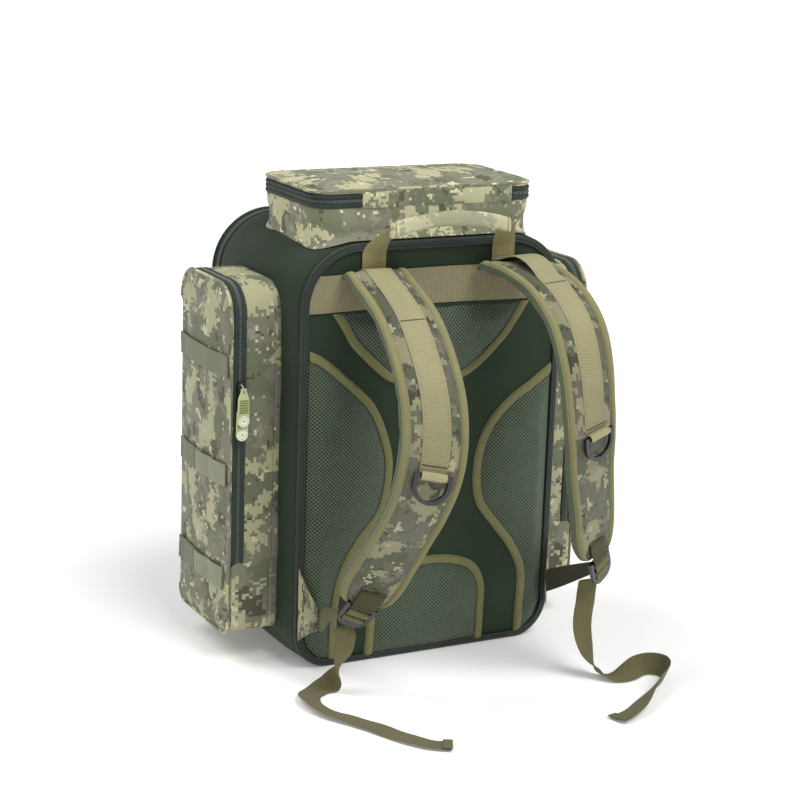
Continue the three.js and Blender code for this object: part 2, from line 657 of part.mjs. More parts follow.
makeBody();
makeSidePocket("left");
makeSidePocket("right");
makeFrontPocket();
makeTopPocket();
makeSliders();
makeBackPads();
makeYoke();
makeCornerPatches();
makeHandle();
for (const side of ["left", "right"]) {
  makeStrap(side);
  makeTail(side);
}

export default backpack;
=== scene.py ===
"""The looks of a tackle backpack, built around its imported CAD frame. Shapes are worked out in millimetres."""
import math

import bmesh
import bpy
import numpy as np
from mathutils import Matrix, Vector, noise
from mathutils.bvhtree import BVHTree
from mathutils.geometry import delaunay_2d_cdt


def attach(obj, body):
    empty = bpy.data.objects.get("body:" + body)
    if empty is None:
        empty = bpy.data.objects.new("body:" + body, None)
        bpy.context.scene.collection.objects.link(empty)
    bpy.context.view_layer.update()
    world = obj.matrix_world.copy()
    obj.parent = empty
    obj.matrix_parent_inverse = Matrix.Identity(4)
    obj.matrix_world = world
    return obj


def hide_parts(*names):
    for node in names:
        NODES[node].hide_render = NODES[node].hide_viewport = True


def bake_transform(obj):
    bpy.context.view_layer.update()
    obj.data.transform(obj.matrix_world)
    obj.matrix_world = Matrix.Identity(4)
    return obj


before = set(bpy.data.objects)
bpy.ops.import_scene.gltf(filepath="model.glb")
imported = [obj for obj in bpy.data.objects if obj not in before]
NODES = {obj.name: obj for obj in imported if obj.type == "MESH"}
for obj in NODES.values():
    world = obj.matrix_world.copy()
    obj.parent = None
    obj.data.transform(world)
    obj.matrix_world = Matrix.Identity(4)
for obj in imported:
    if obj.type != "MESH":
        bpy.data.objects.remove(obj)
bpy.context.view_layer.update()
MM = 0.001

# ---- sizes shared with the CAD parts, in millimetres ----
BODY = dict(x0=-160, x1=160, z0=0, z1=472, low_radius=44, high_radius=68)
PANEL_Y = -116
SIDE_POCKET = dict(x0=-70, x1=70, z0=34, z1=424, low_radius=16, high_radius=34)
FRONT_POCKET = dict(x0=-115, x1=115, z0=84, z1=334, low_radius=18, high_radius=28)
TOP_POCKET = dict(x0=-137, x1=131, z0=-98, z1=48, low_radius=24, high_radius=24)
MOLLE_LEVELS = {"upper": 324, "middle": 203, "lower": 86}
# A molle band's lengths of webbing: both ends across the pocket, look, loops and how far they stand.
MOLLE_PARTS = {"upper": ((-66.5, 66.5, "molle_dark", 1, 1.0),)}
MOLLE_PAIR = ((-62.0, 16.0, "molle", 2, 2.6), (14.0, 66.5, "molle_dark", 1, 0.9))
HARNESS = {
    "left": {
        "face": [
            (-80, -134, 446), (-79, -204, 413), (-82, -254, 370), (-88, -286, 333), (-95, -302, 292),
            (-103, -302, 252), (-108, -284, 213), (-111, -258, 178), (-116, -238, 147), (-122, -222, 116),
        ],
        "turn": (0, -8, -10, -16), "ring_at": 0.595, "buckle": (-132, -206, 92), "tip": (-137, -130, 61),
    },
    "right": {
        "face": [
            (80, -134, 449), (86, -172, 447), (93, -212, 434), (96, -254, 405), (94, -283, 364),
            (96, -292, 320), (103, -288, 281), (110, -281, 245), (117, -278, 204), (121, -275, 160),
        ],
        "turn": (0, 6, 16, 27), "ring_at": 0.66, "buckle": (131, -270, 132), "tip": (146, -138, 72),
    },
}
TAILS = {
    "left": [
        (-137, -191, 76), (-137, -194, 63), (-138, -194, 48), (-140, -191, 33), (-144, -187, 17),
        (-151, -183, 6), (-162, -182, 1.8), (-174, -189, 1.2), (-182, -205, 1.2), (-183, -227, 1.2),
        (-175, -249, 1.2), (-163, -268, 1.2), (-151, -289, 1.2), (-140, -313, 1.2), (-128, -338, 1.2),
        (-113, -357, 1.2), (-98, -366, 1.2),
    ],
    "right": [
        (129, -251, 113), (128, -250, 97), (126, -250, 78), (125, -250, 58), (128, -252, 40),
        (134, -256, 22), (141, -263, 8), (150, -271, 2.2), (161, -276, 1.2), (175, -275, 1.2),
        (189, -271, 1.2), (202, -274, 1.2), (209, -286, 1.2), (205, -301, 1.2), (193, -314, 1.2),
        (175, -327, 1.2), (154, -341, 1.2), (130, -360, 1.2), (108, -371, 1.2), (92, -376, 1.2),
    ],
}


def set_inputs(node, values):
    for name, value in values.items():
        node.inputs[name].default_value = value


# ---- shader fields: numbers over a surface that combine with + - * ----
class Field:
    def __init__(self, tree, socket):
        self.tree, self.socket = tree, socket

    def apply(self, operation, *others):
        node = self.tree.nodes.new("ShaderNodeMath")
        node.operation = operation
        for slot, value in enumerate((self,) + others):
            if isinstance(value, Field):
                self.tree.links.new(value.socket, node.inputs[slot])
            else:
                node.inputs[slot].default_value = value
        return Field(self.tree, node.outputs[0])

    def __add__(self, other):
        return self.apply("ADD", other)

    def __sub__(self, other):
        return self.apply("SUBTRACT", other)

    def __mul__(self, other):
        return self.apply("MULTIPLY", other)

    def above(self, level):
        return self.apply("GREATER_THAN", level)

    def below(self, level):
        return self.apply("LESS_THAN", level)

    def wave(self, pitch, shift=0.0):
        """A smooth wave from -1 to 1 every pitch millimetres."""
        return ((self + shift) * (2 * math.pi / pitch)).apply("SINE")

    def ramp(self, low, high):
        """0 under low, 1 over high, and smooth between."""
        node = self.tree.nodes.new("ShaderNodeMapRange")
        node.interpolation_type = "SMOOTHSTEP"
        self.tree.links.new(self.socket, node.inputs["Value"])
        set_inputs(node, {"From Min": low, "From Max": high})
        return Field(self.tree, node.outputs["Result"])


def srgb(r, g, b):
    """An 8-bit screen colour, with each channel over 10, as linear light."""
    return *(((c / 255 + 0.055) / 1.055) ** 2.4 for c in (r, g, b)), 1


STITCH_PITCH = 3.4


class Finish:
    """A material drawn from a surface's own u and v, in millimetres."""

    def __init__(self, name, roughness=0.8, sheen=0.0, metallic=0.0, specular=0.35, coat=0.0):
        self.material = bpy.data.materials.new(name)
        self.material.use_nodes = True
        self.tree = self.material.node_tree
        self.shader = self.tree.nodes["Principled BSDF"]
        set_inputs(self.shader, {
            "Roughness": roughness, "Metallic": metallic, "Specular IOR Level": specular,
            "Sheen Weight": sheen, "Sheen Roughness": 0.45, "Coat Weight": coat, "Coat Roughness": 0.2,
        })
        split = self.node("ShaderNodeSeparateXYZ")
        self.link(self.node("ShaderNodeUVMap").outputs[0], split.inputs[0])
        self.u = Field(self.tree, split.outputs[0]) * 1000.0
        self.v = Field(self.tree, split.outputs[1]) * 1000.0
        self.place = self.node("ShaderNodeTexCoord").outputs["Object"]

    def node(self, kind):
        return self.tree.nodes.new(kind)

    def link(self, source, target):
        self.tree.links.new(source, target)

    def texture(self, where, values):
        node = self.node("ShaderNodeTexNoise")
        set_inputs(node, values)
        self.link(where, node.inputs["Vector"])
        return Field(self.tree, node.outputs["Fac"])

    def noise(self, size, detail=2.0, rough=0.5, stretch=(1, 1), seed=0.0, cell=None):
        """Smooth noise from 0 to 1, about size millimetres across, on whole cells where cell is given."""
        join = self.node("ShaderNodeCombineXYZ")
        for slot, field in enumerate((self.u, self.v)):
            if cell:
                field = (field * (1 / cell)).apply("FLOOR") * cell
            self.link((field * (1 / size / stretch[slot])).socket, join.inputs[slot])
        join.inputs[2].default_value = seed
        return self.texture(join.outputs[0], {"Scale": 1.0, "Detail": detail, "Roughness": rough})

    def cloud(self, size, detail=2.0):
        """Noise in the object's space, for stains and soft changes of tone over a whole piece."""
        return self.texture(self.place, {"Scale": 1000.0 / size, "Detail": detail})

    def mix(self, share, first, second):
        """first where share is 0 and second where it is 1; each is a colour or a socket."""
        node = self.node("ShaderNodeMix")
        node.data_type = "RGBA"
        if isinstance(share, float):
            node.inputs[0].default_value = share
        else:
            self.link(share.socket, node.inputs[0])
        for socket, value in ((node.inputs[6], first), (node.inputs[7], second)):
            if isinstance(value, tuple):
                socket.default_value = value
            else:
                self.link(value, socket)
        return node.outputs[2]

    def shade(self, colour, field, low, high):
        """The colour times a brightness that runs from low to high with the field."""
        node = self.node("ShaderNodeHueSaturation")
        self.link((field * (high - low) + low).socket, node.inputs["Value"])
        if isinstance(colour, tuple):
            node.inputs["Color"].default_value = colour
        else:
            self.link(colour, node.inputs["Color"])
        return node.outputs[0]

    def stitches(self, rows):
        """A mask of thread dashes along u on the given v rows."""
        dash = (self.u * (1 / STITCH_PITCH)).apply("FRACT").below(0.68)
        rows = [((self.v - row).apply("ABSOLUTE")).below(0.55) for row in rows]
        line = rows[0]
        for row in rows[1:]:
            line = line.apply("MAXIMUM", row)
        return line * dash

    def done(self, colour, height, strength, depth, rough=None):
        """The finished material, from its colour, its relief in millimetres and its roughness."""
        self.link(colour, self.shader.inputs["Base Color"])
        if rough is not None:
            self.link(rough.socket, self.shader.inputs["Roughness"])
        bump = self.node("ShaderNodeBump")
        set_inputs(bump, {"Strength": strength, "Distance": depth * MM})
        self.link(height.socket, bump.inputs["Height"])
        self.link(bump.outputs[0], self.shader.inputs["Normal"])
        return self.material


def woven_green():
    f = Finish("woven_green", roughness=0.62, sheen=0.07, specular=0.2)
    weave = f.u.wave(1.5) * f.v.wave(1.5)
    slub = f.noise(2.2, 2, stretch=(6, 0.8)) + f.noise(2.2, 2, stretch=(0.8, 6), seed=4.0)
    tone = f.shade(srgb(40, 55, 38), f.cloud(90, 3) * 0.7 + slub * 0.15, 0.72, 1.3)
    # the cloth with lighter worn patches at random: real wear, with no painted shade
    wear_and_shade = f.mix((f.cloud(14, 4)).ramp(0.62, 0.8) * 0.25, tone, srgb(61, 78, 57))
    return f.done(wear_and_shade, weave * 0.5 + slub * 0.7 + f.cloud(35, 2) * 1.6, 0.45, 0.5, slub * 0.1 + 0.5)


def camouflage(name="camouflage", painted_light=1.0, fade=0.0):
    f = Finish(name, roughness=0.72, sheen=0.1, specular=0.28)
    pixel = 3.1
    fine = f.noise(4.2, 1, cell=pixel, seed=9.0)

    def patches(size, level, seed, stretch):
        broad = f.noise(size, 3, 0.62, stretch, seed, cell=pixel)
        return (broad + (fine - 0.5) * 0.19).above(level)

    colour = f.mix(patches(54, 0.52, 31.0, (1, 1.2)), srgb(127, 126, 108), srgb(110, 115, 91))
    colour = f.mix(patches(30, 0.6, 3.0, (1.3, 1)), colour, srgb(146, 143, 125))
    colour = f.mix(patches(28, 0.595, 57.0, (1, 1.6)), colour, srgb(90, 87, 70))
    colour = f.mix(patches(35, 0.545, 17.0, (1.1, 1.5)), colour, srgb(176, 174, 138))
    colour = f.mix(patches(17, 0.63, 71.0, (1.2, 1)), colour, srgb(203, 199, 165))
    if fade:
        colour = f.mix(fade, colour, srgb(158, 156, 128))
    weave = f.u.wave(1.3) * f.v.wave(1.3)
    thread = f.noise(1.6, 2, stretch=(5, 0.8), seed=2.0)
    # painted light and shade: this factor brightens the whole pattern above 1 and darkens it below 1, for lit
    # and shaded copies of the camouflage
    colour = f.shade(colour, f.cloud(70, 3) * 0.5 + thread * 0.35 + weave * 0.05, 0.8 * painted_light, 1.22 * painted_light)
    return f.done(colour, weave * 0.35 + thread * 0.6 + f.cloud(24, 2) * 1.5, 0.5, 0.5)


def webbing(name, colour, pitch=1.9, rows=(), thread=0.6, wear_and_shade=1.0):
    f = Finish(name, roughness=0.75, sheen=0.12, specular=0.3)
    rib = f.u.wave(pitch)
    yarn = f.v.wave(0.95) * rib
    fuzz = f.noise(1.4, 2, stretch=(0.7, 5))
    tone = f.shade(colour, rib * 0.24 + fuzz * 0.5 + f.cloud(45, 3) * 0.4, 0.66, 1.3)
    # painted shade: the webbing darkens between 120 and 300 mm along it, towards the strap's lower end which
    # faces down; the last argument is how dark it ends, and 1.0 leaves it unshaded
    tone = f.shade(tone, f.u.ramp(120, 300), 1.0, wear_and_shade)
    height = rib * 0.9 + yarn * 0.35 + fuzz * 0.6
    if rows:
        mask = f.stitches(rows)
        tone = f.mix(mask * thread, tone, srgb(96, 90, 62))
        height = height - mask * 1.4
    return f.done(tone, height, 0.6, 0.45)


def air_mesh():
    f = Finish("air_mesh", roughness=0.75, sheen=0.2, specular=0.25)
    pitch = 4.3
    net = (f.u + f.v).wave(pitch) + (f.u - f.v).wave(pitch) + f.noise(1.5, 1) * 0.4
    hole = net.ramp(0.0, 1.35)
    tone = f.shade(srgb(96, 110, 90), f.cloud(60, 2) * 0.6 + f.noise(1.1, 1) * 0.4, 0.7, 1.25)
    # the holes are near black: partly the dark backing seen through them, partly painted shade in their hollows
    colour = f.mix(hole, tone, srgb(22, 29, 21))
    return f.done(colour, hole * -1.0 + f.noise(0.8, 1) * 0.15, 0.75, 1.0)


def piping_cloth():
    f = Finish("piping_cloth", roughness=0.45, sheen=0.05, specular=0.45)
    twill = (f.u + f.v).wave(1.6)
    tone = f.shade(srgb(36, 44, 38), twill * 0.12 + f.cloud(30, 2), 0.7, 1.35)
    return f.done(tone, twill + f.noise(2, 2), 0.35, 0.3, f.cloud(20, 2) * 0.25 + 0.33)


def zip_tape():
    f = Finish("zip_tape", roughness=0.7, sheen=0.08, specular=0.3)
    knit = f.u.wave(1.3)
    rows = f.v.wave(1.7)
    tone = f.shade(srgb(48, 58, 52), knit * 0.12 + rows * 0.12 + f.cloud(30, 2), 0.7, 1.3)
    return f.done(tone, knit * 0.6 + rows * 0.5, 0.5, 0.3)


def coil():
    f = Finish("zip_coil", roughness=0.5, specular=0.35)
    # painted highlight and shade: the coil is light on each tooth and dark between the teeth, along u
    tooth = f.u.wave(2.93, -0.73).ramp(-0.3, 0.5)
    tone = f.mix(tooth, srgb(30, 37, 33), srgb(108, 119, 110))
    return f.done(tone, tooth, 0.6, 0.5)


def moulded(name, colour, roughness, specular=0.5, coat=0.0, wear=0.25):
    f = Finish(name, roughness=roughness, specular=specular, coat=coat)
    grain = f.cloud(1.2, 3)
    scuff = f.cloud(9, 4).ramp(0.55, 0.75)
    tone = f.mix(scuff * wear, f.shade(colour, f.cloud(14, 2), 0.8, 1.25), srgb(150, 150, 150))
    return f.done(tone, grain, 0.15, 0.15, scuff * 0.2 + grain * 0.12 + (roughness - 0.06))


def nickel(name, colour, roughness):
    f = Finish(name, roughness=roughness, metallic=1.0, specular=0.5)
    wear = f.cloud(3, 4).ramp(0.5, 0.75)
    tone = f.mix(wear * 0.5, f.shade(colour, f.cloud(5, 2), 0.75, 1.25), srgb(205, 203, 198))
    return f.done(tone, f.cloud(0.7, 3), 0.12, 0.1, wear * 0.15 + roughness)


def foam_side():
    f = Finish("foam_side", roughness=0.8, sheen=0.2, specular=0.2)
    nap = f.noise(1.3, 3)
    tone = f.shade(srgb(88, 97, 72), nap * 0.4 + f.cloud(40, 2) * 0.6, 0.78, 1.22)
    return f.done(tone, nap + f.cloud(12, 2) * 1.5, 0.35, 0.4)


def board():
    f = Finish("lining_board", roughness=0.6, specular=0.3)
    grain = f.cloud(3, 4)
    tone = f.shade(srgb(58, 62, 60), grain * 0.5 + f.cloud(40, 2) * 0.5, 0.75, 1.25)
    return f.done(tone, grain, 0.3, 0.2)


LOOKS = {
    # the camouflage brightened 1.32 times as painted light, for the top pocket, its lid and the pocket piping
    "green": woven_green(), "camo": camouflage(), "camo_bright": camouflage("camouflage_lit", 1.32),
    # the handle sleeve's camouflage: brightened 1.5 times as painted light, and faded towards pale khaki
    # the shoulder pads' camouflage: darkened to 0.64 as painted shade, for faces that turn down
    "camo_pale": camouflage("camouflage_lit_pale", 1.5, 0.55), "camo_shaded": camouflage("camouflage_shaded", 0.64),
    # tan: darkened to 0.7 towards the strap's lower end as painted shade
    "tan": webbing("tan_webbing", srgb(173, 167, 126), 2.2, (2.6, 27.4), 0.2, 0.7),
    "yoke": webbing("yoke_webbing", srgb(146, 139, 107), 2.6),
    "molle": webbing("molle_webbing", srgb(146, 150, 124), 2.6),
    "molle_dark": webbing("molle_dark_webbing", srgb(126, 129, 104), 1.8),
    "handle": webbing("handle_webbing", srgb(160, 152, 108), 2.0),
    "binding": webbing("edge_binding", srgb(130, 128, 84), 1.7, (2.2,)),
    # the shoulder pads' binding: a brighter copy of edge_binding as painted light, darkened to 0.72 towards its
    # lower end as painted shade
    "lit_strap_binding": webbing("lit_strap_binding", srgb(154, 150, 104), 1.7, (2.2,), 0.5, 0.72),
    "olive": webbing("olive_webbing", srgb(112, 108, 72), 1.7),
    "dark_olive": webbing("dark_olive_webbing", srgb(72, 67, 40), 1.7),
    "mesh": air_mesh(), "piping": piping_cloth(), "zip": zip_tape(), "coil": coil(),
    "plastic": moulded("buckle_nylon", srgb(20, 20, 26), 0.24, 0.5, 0.35, 0.12),
    "rubber": moulded("tab_rubber", srgb(184, 191, 140), 0.5, 0.4),
    "rubber_dark": moulded("tab_groove", srgb(112, 126, 66), 0.5, 0.4),
    "rubber_pale": moulded("tab_ring", srgb(232, 233, 216), 0.45, 0.4),
    "metal": nickel("slider_nickel", srgb(88, 86, 86), 0.24),
    "bail": nickel("bail_nickel", srgb(178, 176, 172), 0.2),
    "foam": foam_side(), "board": board(),
}


# ---- camera, lights and floor ----
CAMERA_AT = (-1.0806, -2.086, 0.8675)
CAMERA_WAY = (0.4527, 0.8564, -0.2482)
CAMERA_ACROSS = (0.8841, -0.4673, 0.0)
CAMERA_ROLL = math.radians(1.92)
CAMERA_LENS = 95.16
# Each lamp's way, strength and spread in degrees.
LAMPS = {"front": ((0.2, -0.56, 0.84), 2.1, 34), "side": ((-0.48, 0.3, 0.84), 1.35, 40)}
FLOOR_REACH = 25.0


def add_object(name, data):
    made = bpy.data.objects.new(name, data)
    bpy.context.collection.objects.link(made)
    return made


def make_stage():
    forward = Vector(CAMERA_WAY).normalized()
    across = Vector(CAMERA_ACROSS).normalized()
    upward = across.cross(forward)
    right = across * math.cos(CAMERA_ROLL) + upward * math.sin(CAMERA_ROLL)
    up = upward * math.cos(CAMERA_ROLL) - across * math.sin(CAMERA_ROLL)
    camera = add_object("camera", bpy.data.cameras.new("camera"))
    camera.data.lens = CAMERA_LENS
    camera.data.clip_start = 0.05
    turn = Matrix((right, up, -forward)).transposed().to_4x4()
    camera.matrix_world = Matrix.Translation(Vector(CAMERA_AT)) @ turn
    bpy.context.scene.camera = camera

    world = bpy.data.worlds.new("studio")
    bpy.context.scene.world = world
    world.use_nodes = True
    set_inputs(world.node_tree.nodes["Background"], {"Color": (1, 1, 1, 1), "Strength": 0.27})
    bpy.context.scene.view_settings.view_transform = "Standard"

    for name, (way, strength, spread) in LAMPS.items():
        lamp = bpy.data.lights.new(name, "SUN")
        lamp.energy = strength
        lamp.angle = math.radians(spread)
        add_object(name, lamp).rotation_euler = Vector(way).to_track_quat("Z", "Y").to_euler()

    floor_mesh = bpy.data.meshes.new("floor")
    corners = [(x * FLOOR_REACH, y * FLOOR_REACH, 0) for x, y in ((-1, -1), (1, -1), (1, 1), (-1, 1))]
    floor_mesh.from_pydata(corners, [], [(0, 1, 2, 3)])
    floor = add_object("floor", floor_mesh)
    pale = bpy.data.materials.new("pale_floor")
    pale.use_nodes = True
    set_inputs(pale.node_tree.nodes["Principled BSDF"], {
        "Base Color": (0.97, 0.97, 0.97, 1), "Roughness": 0.9, "Emission Color": (1, 1, 1, 1),
        "Emission Strength": 0.16,
    })
    floor_mesh.materials.append(pale)


# ---- mesh helpers ----
def make_object(name, points, faces, looks, face_looks, uvs, sharp=38.0):
    """A smooth-shaded object. points, and uvs for each corner of each face, are in millimetres."""
    mesh = bpy.data.meshes.new(name)
    mesh.from_pydata((np.asarray(points, float) * MM).tolist(), [], [list(f) for f in faces])
    mesh.uv_layers.new(name="UVMap").data.foreach_set("uv", (np.asarray(uvs, float) * MM).ravel())
    looks = [looks] if isinstance(looks, str) else looks
    for look in looks:
        mesh.materials.append(LOOKS[look])
    mesh.polygons.foreach_set("material_index", np.asarray(face_looks, np.int32))
    made = bmesh.new()
    made.from_mesh(mesh)
    bmesh.ops.recalc_face_normals(made, faces=made.faces)
    made.to_mesh(mesh)
    made.free()
    mesh.shade_smooth()
    mesh.set_sharp_from_angle(angle=math.radians(sharp))
    piece = add_object(name, mesh)
    return piece


def soften(piece):
    piece.modifiers.new("soften", "SUBSURF").levels = 1
    return piece


def fit(piece, bodies, node=None):
    if isinstance(bodies, str):
        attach(piece, bodies)
    else:
        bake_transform(piece)
    if node:
        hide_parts(node)
    return piece


def lengths(points, closed):
    """Distances along a line of points, with the closing step's total last where it is closed."""
    steps = np.linalg.norm(np.diff(points, axis=0), axis=1)
    total = [0.0, *np.cumsum(steps)]
    if closed:
        total.append(total[-1] + float(np.linalg.norm(points[0] - points[-1])))
    return np.array(total)


def lattice(name, grid, looks, column_looks=None, closed_u=False, closed_v=False, caps=False, sharp=38.0):
    """A surface over grid[i][j]. u runs along i and v along j."""
    grid = np.asarray(grid, float)
    rows, columns = grid.shape[:2]
    along = lengths(grid[:, columns // 2], closed_u)
    across = lengths(grid[rows // 2], closed_v)
    faces, uvs, face_looks = [], [], []
    for i in range(rows if closed_u else rows - 1):
        for j in range(columns if closed_v else columns - 1):
            ii, jj = (i + 1) % rows, (j + 1) % columns
            faces.append((i * columns + j, ii * columns + j, ii * columns + jj, i * columns + jj))
            uvs += [(along[i], across[j]), (along[i + 1], across[j]),
                    (along[i + 1], across[j + 1]), (along[i], across[j + 1])]
            face_looks.append(column_looks[j] if column_looks else 0)
    if caps:
        for i in (0, rows - 1):
            faces.append([i * columns + j for j in range(columns)])
            uvs += [(across[j] * 0.3, across[j]) for j in range(columns)]
            face_looks.append(0)
    return make_object(name, grid.reshape(-1, 3), faces, looks, face_looks, uvs, sharp)


def unit(vectors):
    return vectors / np.maximum(np.linalg.norm(vectors, axis=-1, keepdims=True), 1e-9)


def turn_round(count):
    """Evenly spaced angles of a full turn."""
    return np.linspace(0, 2 * math.pi, count, endpoint=False)


def square_to(tangent, ways):
    """The ways turned square to a line's own."""
    return unit(ways - tangent * (ways * tangent).sum(-1, keepdims=True))


def smooth(values, low, high):
    t = np.clip((np.asarray(values, float) - low) / (high - low), 0, 1)
    return t * t * (3 - 2 * t)


def wobble(points, size, seed):
    """Smooth noise from about -1 to 1 at each millimetre point."""
    flat = np.asarray(points, float).reshape(-1, 3)
    shift = Vector((seed * 7.3, seed * 3.1, seed * 5.7))
    values = [noise.fractal(Vector(p) / size + shift, 1.0, 2.0, 3) for p in flat]
    return np.array(values).reshape(np.asarray(points).shape[:-1])


def outline(spec, step=6.0, grow=0.0):
    """Points (a, b) round a box with rounded corners, from the middle of its foot, and their normals."""
    x0, x1, z0, z1 = spec["x0"], spec["x1"], spec["z0"], spec["z1"]
    low, high = spec["low_radius"], spec["high_radius"]
    corners = [(x1 - low, z0 + low, low, -90), (x1 - high, z1 - high, high, 0),
               (x0 + high, z1 - high, high, 90), (x0 + low, z0 + low, low, 180)]
    points, normals = [], []
    start = ((x0 + x1) / 2, z0)

    def run(first, last, normal):
        count = max(1, round(math.dist(first, last) / step))
        for k in range(count):
            t = k / count
            points.append((first[0] + (last[0] - first[0]) * t, first[1] + (last[1] - first[1]) * t))
            normals.append(normal)

    last, normal = start, (0, -1)
    for cx, cz, radius, first_angle in corners:
        count = max(4, round(radius * 1.57 / step)) + 1
        angles = np.radians(np.linspace(first_angle, first_angle + 90, count))
        ring = [(cx + radius * math.cos(a), cz + radius * math.sin(a)) for a in angles]
        run(last, ring[0], normal)
        points += ring[:-1]
        normals += [(math.cos(a), math.sin(a)) for a in angles[:-1]]
        last, normal = ring[-1], (math.cos(angles[-1]), math.sin(angles[-1]))
    run(last, start, normal)
    points, normals = np.array(points), np.array(normals)
    return points + normals * grow, normals


def step_distance(points, starts, steps):
    """Each point's distance to the nearest of the straight steps."""
    offset = points[:, None] - starts[None]
    share = np.clip((offset * steps).sum(2) / np.maximum((steps * steps).sum(1), 1e-9), 0, 1)
    return np.linalg.norm(offset - share[..., None] * steps, axis=2).min(1)


def edge_distance(points, loop):
    return step_distance(points, loop, np.roll(loop, -1, axis=0) - loop)


def line_distance(points, line):
    return step_distance(points, line[:-1], np.diff(line, axis=0))


def within(points, loop):
    """Which points lie inside the closed loop."""
    a, b = loop, np.roll(loop, -1, axis=0)
    x, y = points[:, :1], points[:, 1:]
    crosses = (a[None, :, 1] > y) != (b[None, :, 1] > y)
    rise = np.where(np.abs(b[:, 1] - a[:, 1]) > 1e-9, b[:, 1] - a[:, 1], 1e-9)
    at = a[None, :, 0] + (y - a[None, :, 1]) / rise[None] * (b[:, 0] - a[:, 0])[None]
    return (crosses & (x < at)).sum(1) % 2 == 1


def fill(loop, spacing, extra=()):
    """Triangles over a closed outline, whose points come first, with points inside it a spacing apart."""
    low, high = loop.min(0), loop.max(0)
    inside = []
    row = 0
    b = low[1] + spacing / 2
    while b < high[1]:
        shift = spacing / 2 * (row % 2)
        inside += [(a, b) for a in np.arange(low[0] + shift, high[0], spacing)]
        b += spacing * 0.866
        row += 1
    inside = np.array(inside)
    far = (edge_distance(inside, loop) > spacing * 0.55) & within(inside, loop)
    if len(extra):
        extra = np.asarray(extra)
        extra = extra[within(extra, loop) & (edge_distance(extra, loop) > 1.0)]
        far &= np.linalg.norm(inside[:, None] - extra[None], axis=2).min(1) > spacing * 0.5
        inside = np.vstack([inside[far], extra])
    else:
        inside = inside[far]
    points = [Vector(p) for p in np.vstack([loop, inside])]
    found = delaunay_2d_cdt(points, [], [list(range(len(loop)))], 1, 1e-4)
    return np.array([tuple(p) for p in found[0]]), [tuple(t) for t in found[2]]


def panel(name, loop, height, spacing, place, depth, looks, look_of=None, extra=(), swell=None, rim=0.0):
    """A crowned panel. height(points, distance) is its top over the base plane, place maps (a, b, d) to
    space, its sides start at rim and its back is flat at depth. swell is (pressure, slack, cap, margin) for a
    cloth simulation of the crown inside the margin."""
    points, triangles = fill(loop, spacing, extra)
    count = len(loop)
    distance = edge_distance(points, loop)
    top = place(points[:, 0], points[:, 1], height(points, distance))
    side = place(loop[:, 0], loop[:, 1], np.full(count, rim))
    back = place(loop[:, 0], loop[:, 1], np.full(count, depth))
    vertices = np.vstack([top, side, back])
    first_side, first_back = len(top), len(top) + count
    centres = np.array([points[list(t)].mean(0) for t in triangles])
    face_looks = list(look_of(centres)) if look_of else [0] * len(triangles)
    faces = list(triangles)
    uvs = [tuple(points[v]) for t in triangles for v in t]
    run = lengths(loop, True)
    edge_looks = look_of(loop) if look_of else [0] * count
    for k in range(count):
        n = (k + 1) % count
        for upper, lower, v0, v1 in ((0, first_side, 0, 3), (first_side, first_back, 3, 8)):
            faces.append((upper + k, upper + n, lower + n, lower + k))
            uvs += [(run[k], v0), (run[k + 1], v0), (run[k + 1], v1), (run[k], v1)]
            face_looks.append(edge_looks[k])
    faces.append(list(range(first_back, first_back + count)))
    uvs += [tuple(p) for p in loop]
    face_looks.append(0)
    piece = make_object(name, vertices, faces, looks, face_looks, uvs)
    if swell:
        free = np.zeros(len(vertices), bool)
        free[:len(top)] = distance > swell[3]
        simulate(piece, ~free, *swell[:3])
    return piece


CLOTH_STEPS = 20


def simulate(piece, pinned, pressure, slack, cap):
    """Swells a cloth between its pinned points, and moves no point more than cap millimetres."""
    group = piece.vertex_groups.new(name="sewn")
    group.add([int(k) for k in np.nonzero(pinned)[0]], 1.0, "REPLACE")
    cloth = piece.modifiers.new("Cloth", "CLOTH")
    for name, value in {
        "quality": 4, "mass": 0.25, "tension_stiffness": 12, "compression_stiffness": 12,
        "shear_stiffness": 5, "bending_stiffness": 0.4, "use_pressure": True,
        "uniform_pressure_force": pressure, "shrink_min": -slack, "vertex_group_mass": "sewn",
    }.items():
        setattr(cloth.settings, name, value)
    cloth.settings.effector_weights.gravity = 0
    cloth.collision_settings.use_collision = False
    cloth.point_cache.frame_start = 1
    cloth.point_cache.frame_end = CLOTH_STEPS
    scene = bpy.context.scene
    for step in range(1, CLOTH_STEPS + 1):
        scene.frame_set(step)
    soft = piece.evaluated_get(bpy.context.evaluated_depsgraph_get()).to_mesh()
    after = np.zeros(len(soft.vertices) * 3)
    soft.vertices.foreach_get("co", after)
    before = np.zeros(len(piece.data.vertices) * 3)
    piece.data.vertices.foreach_get("co", before)
    move = (after - before).reshape(-1, 3)
    far = np.linalg.norm(move, axis=1, keepdims=True)
    limit = cap * MM
    move *= np.where(far > 1e-9, limit * np.tanh(far / limit) / np.maximum(far, 1e-9), 0)
    piece.modifiers.remove(cloth)
    piece.vertex_groups.clear()
    piece.data.vertices.foreach_set("co", before + move.ravel())
    piece.data.update()
    scene.frame_set(1)


def steps_of(line, closed):
    """The way a line runs at each of its points."""
    if closed:
        return np.roll(line, -1, axis=0) - np.roll(line, 1, axis=0)
    return np.gradient(line, axis=0)


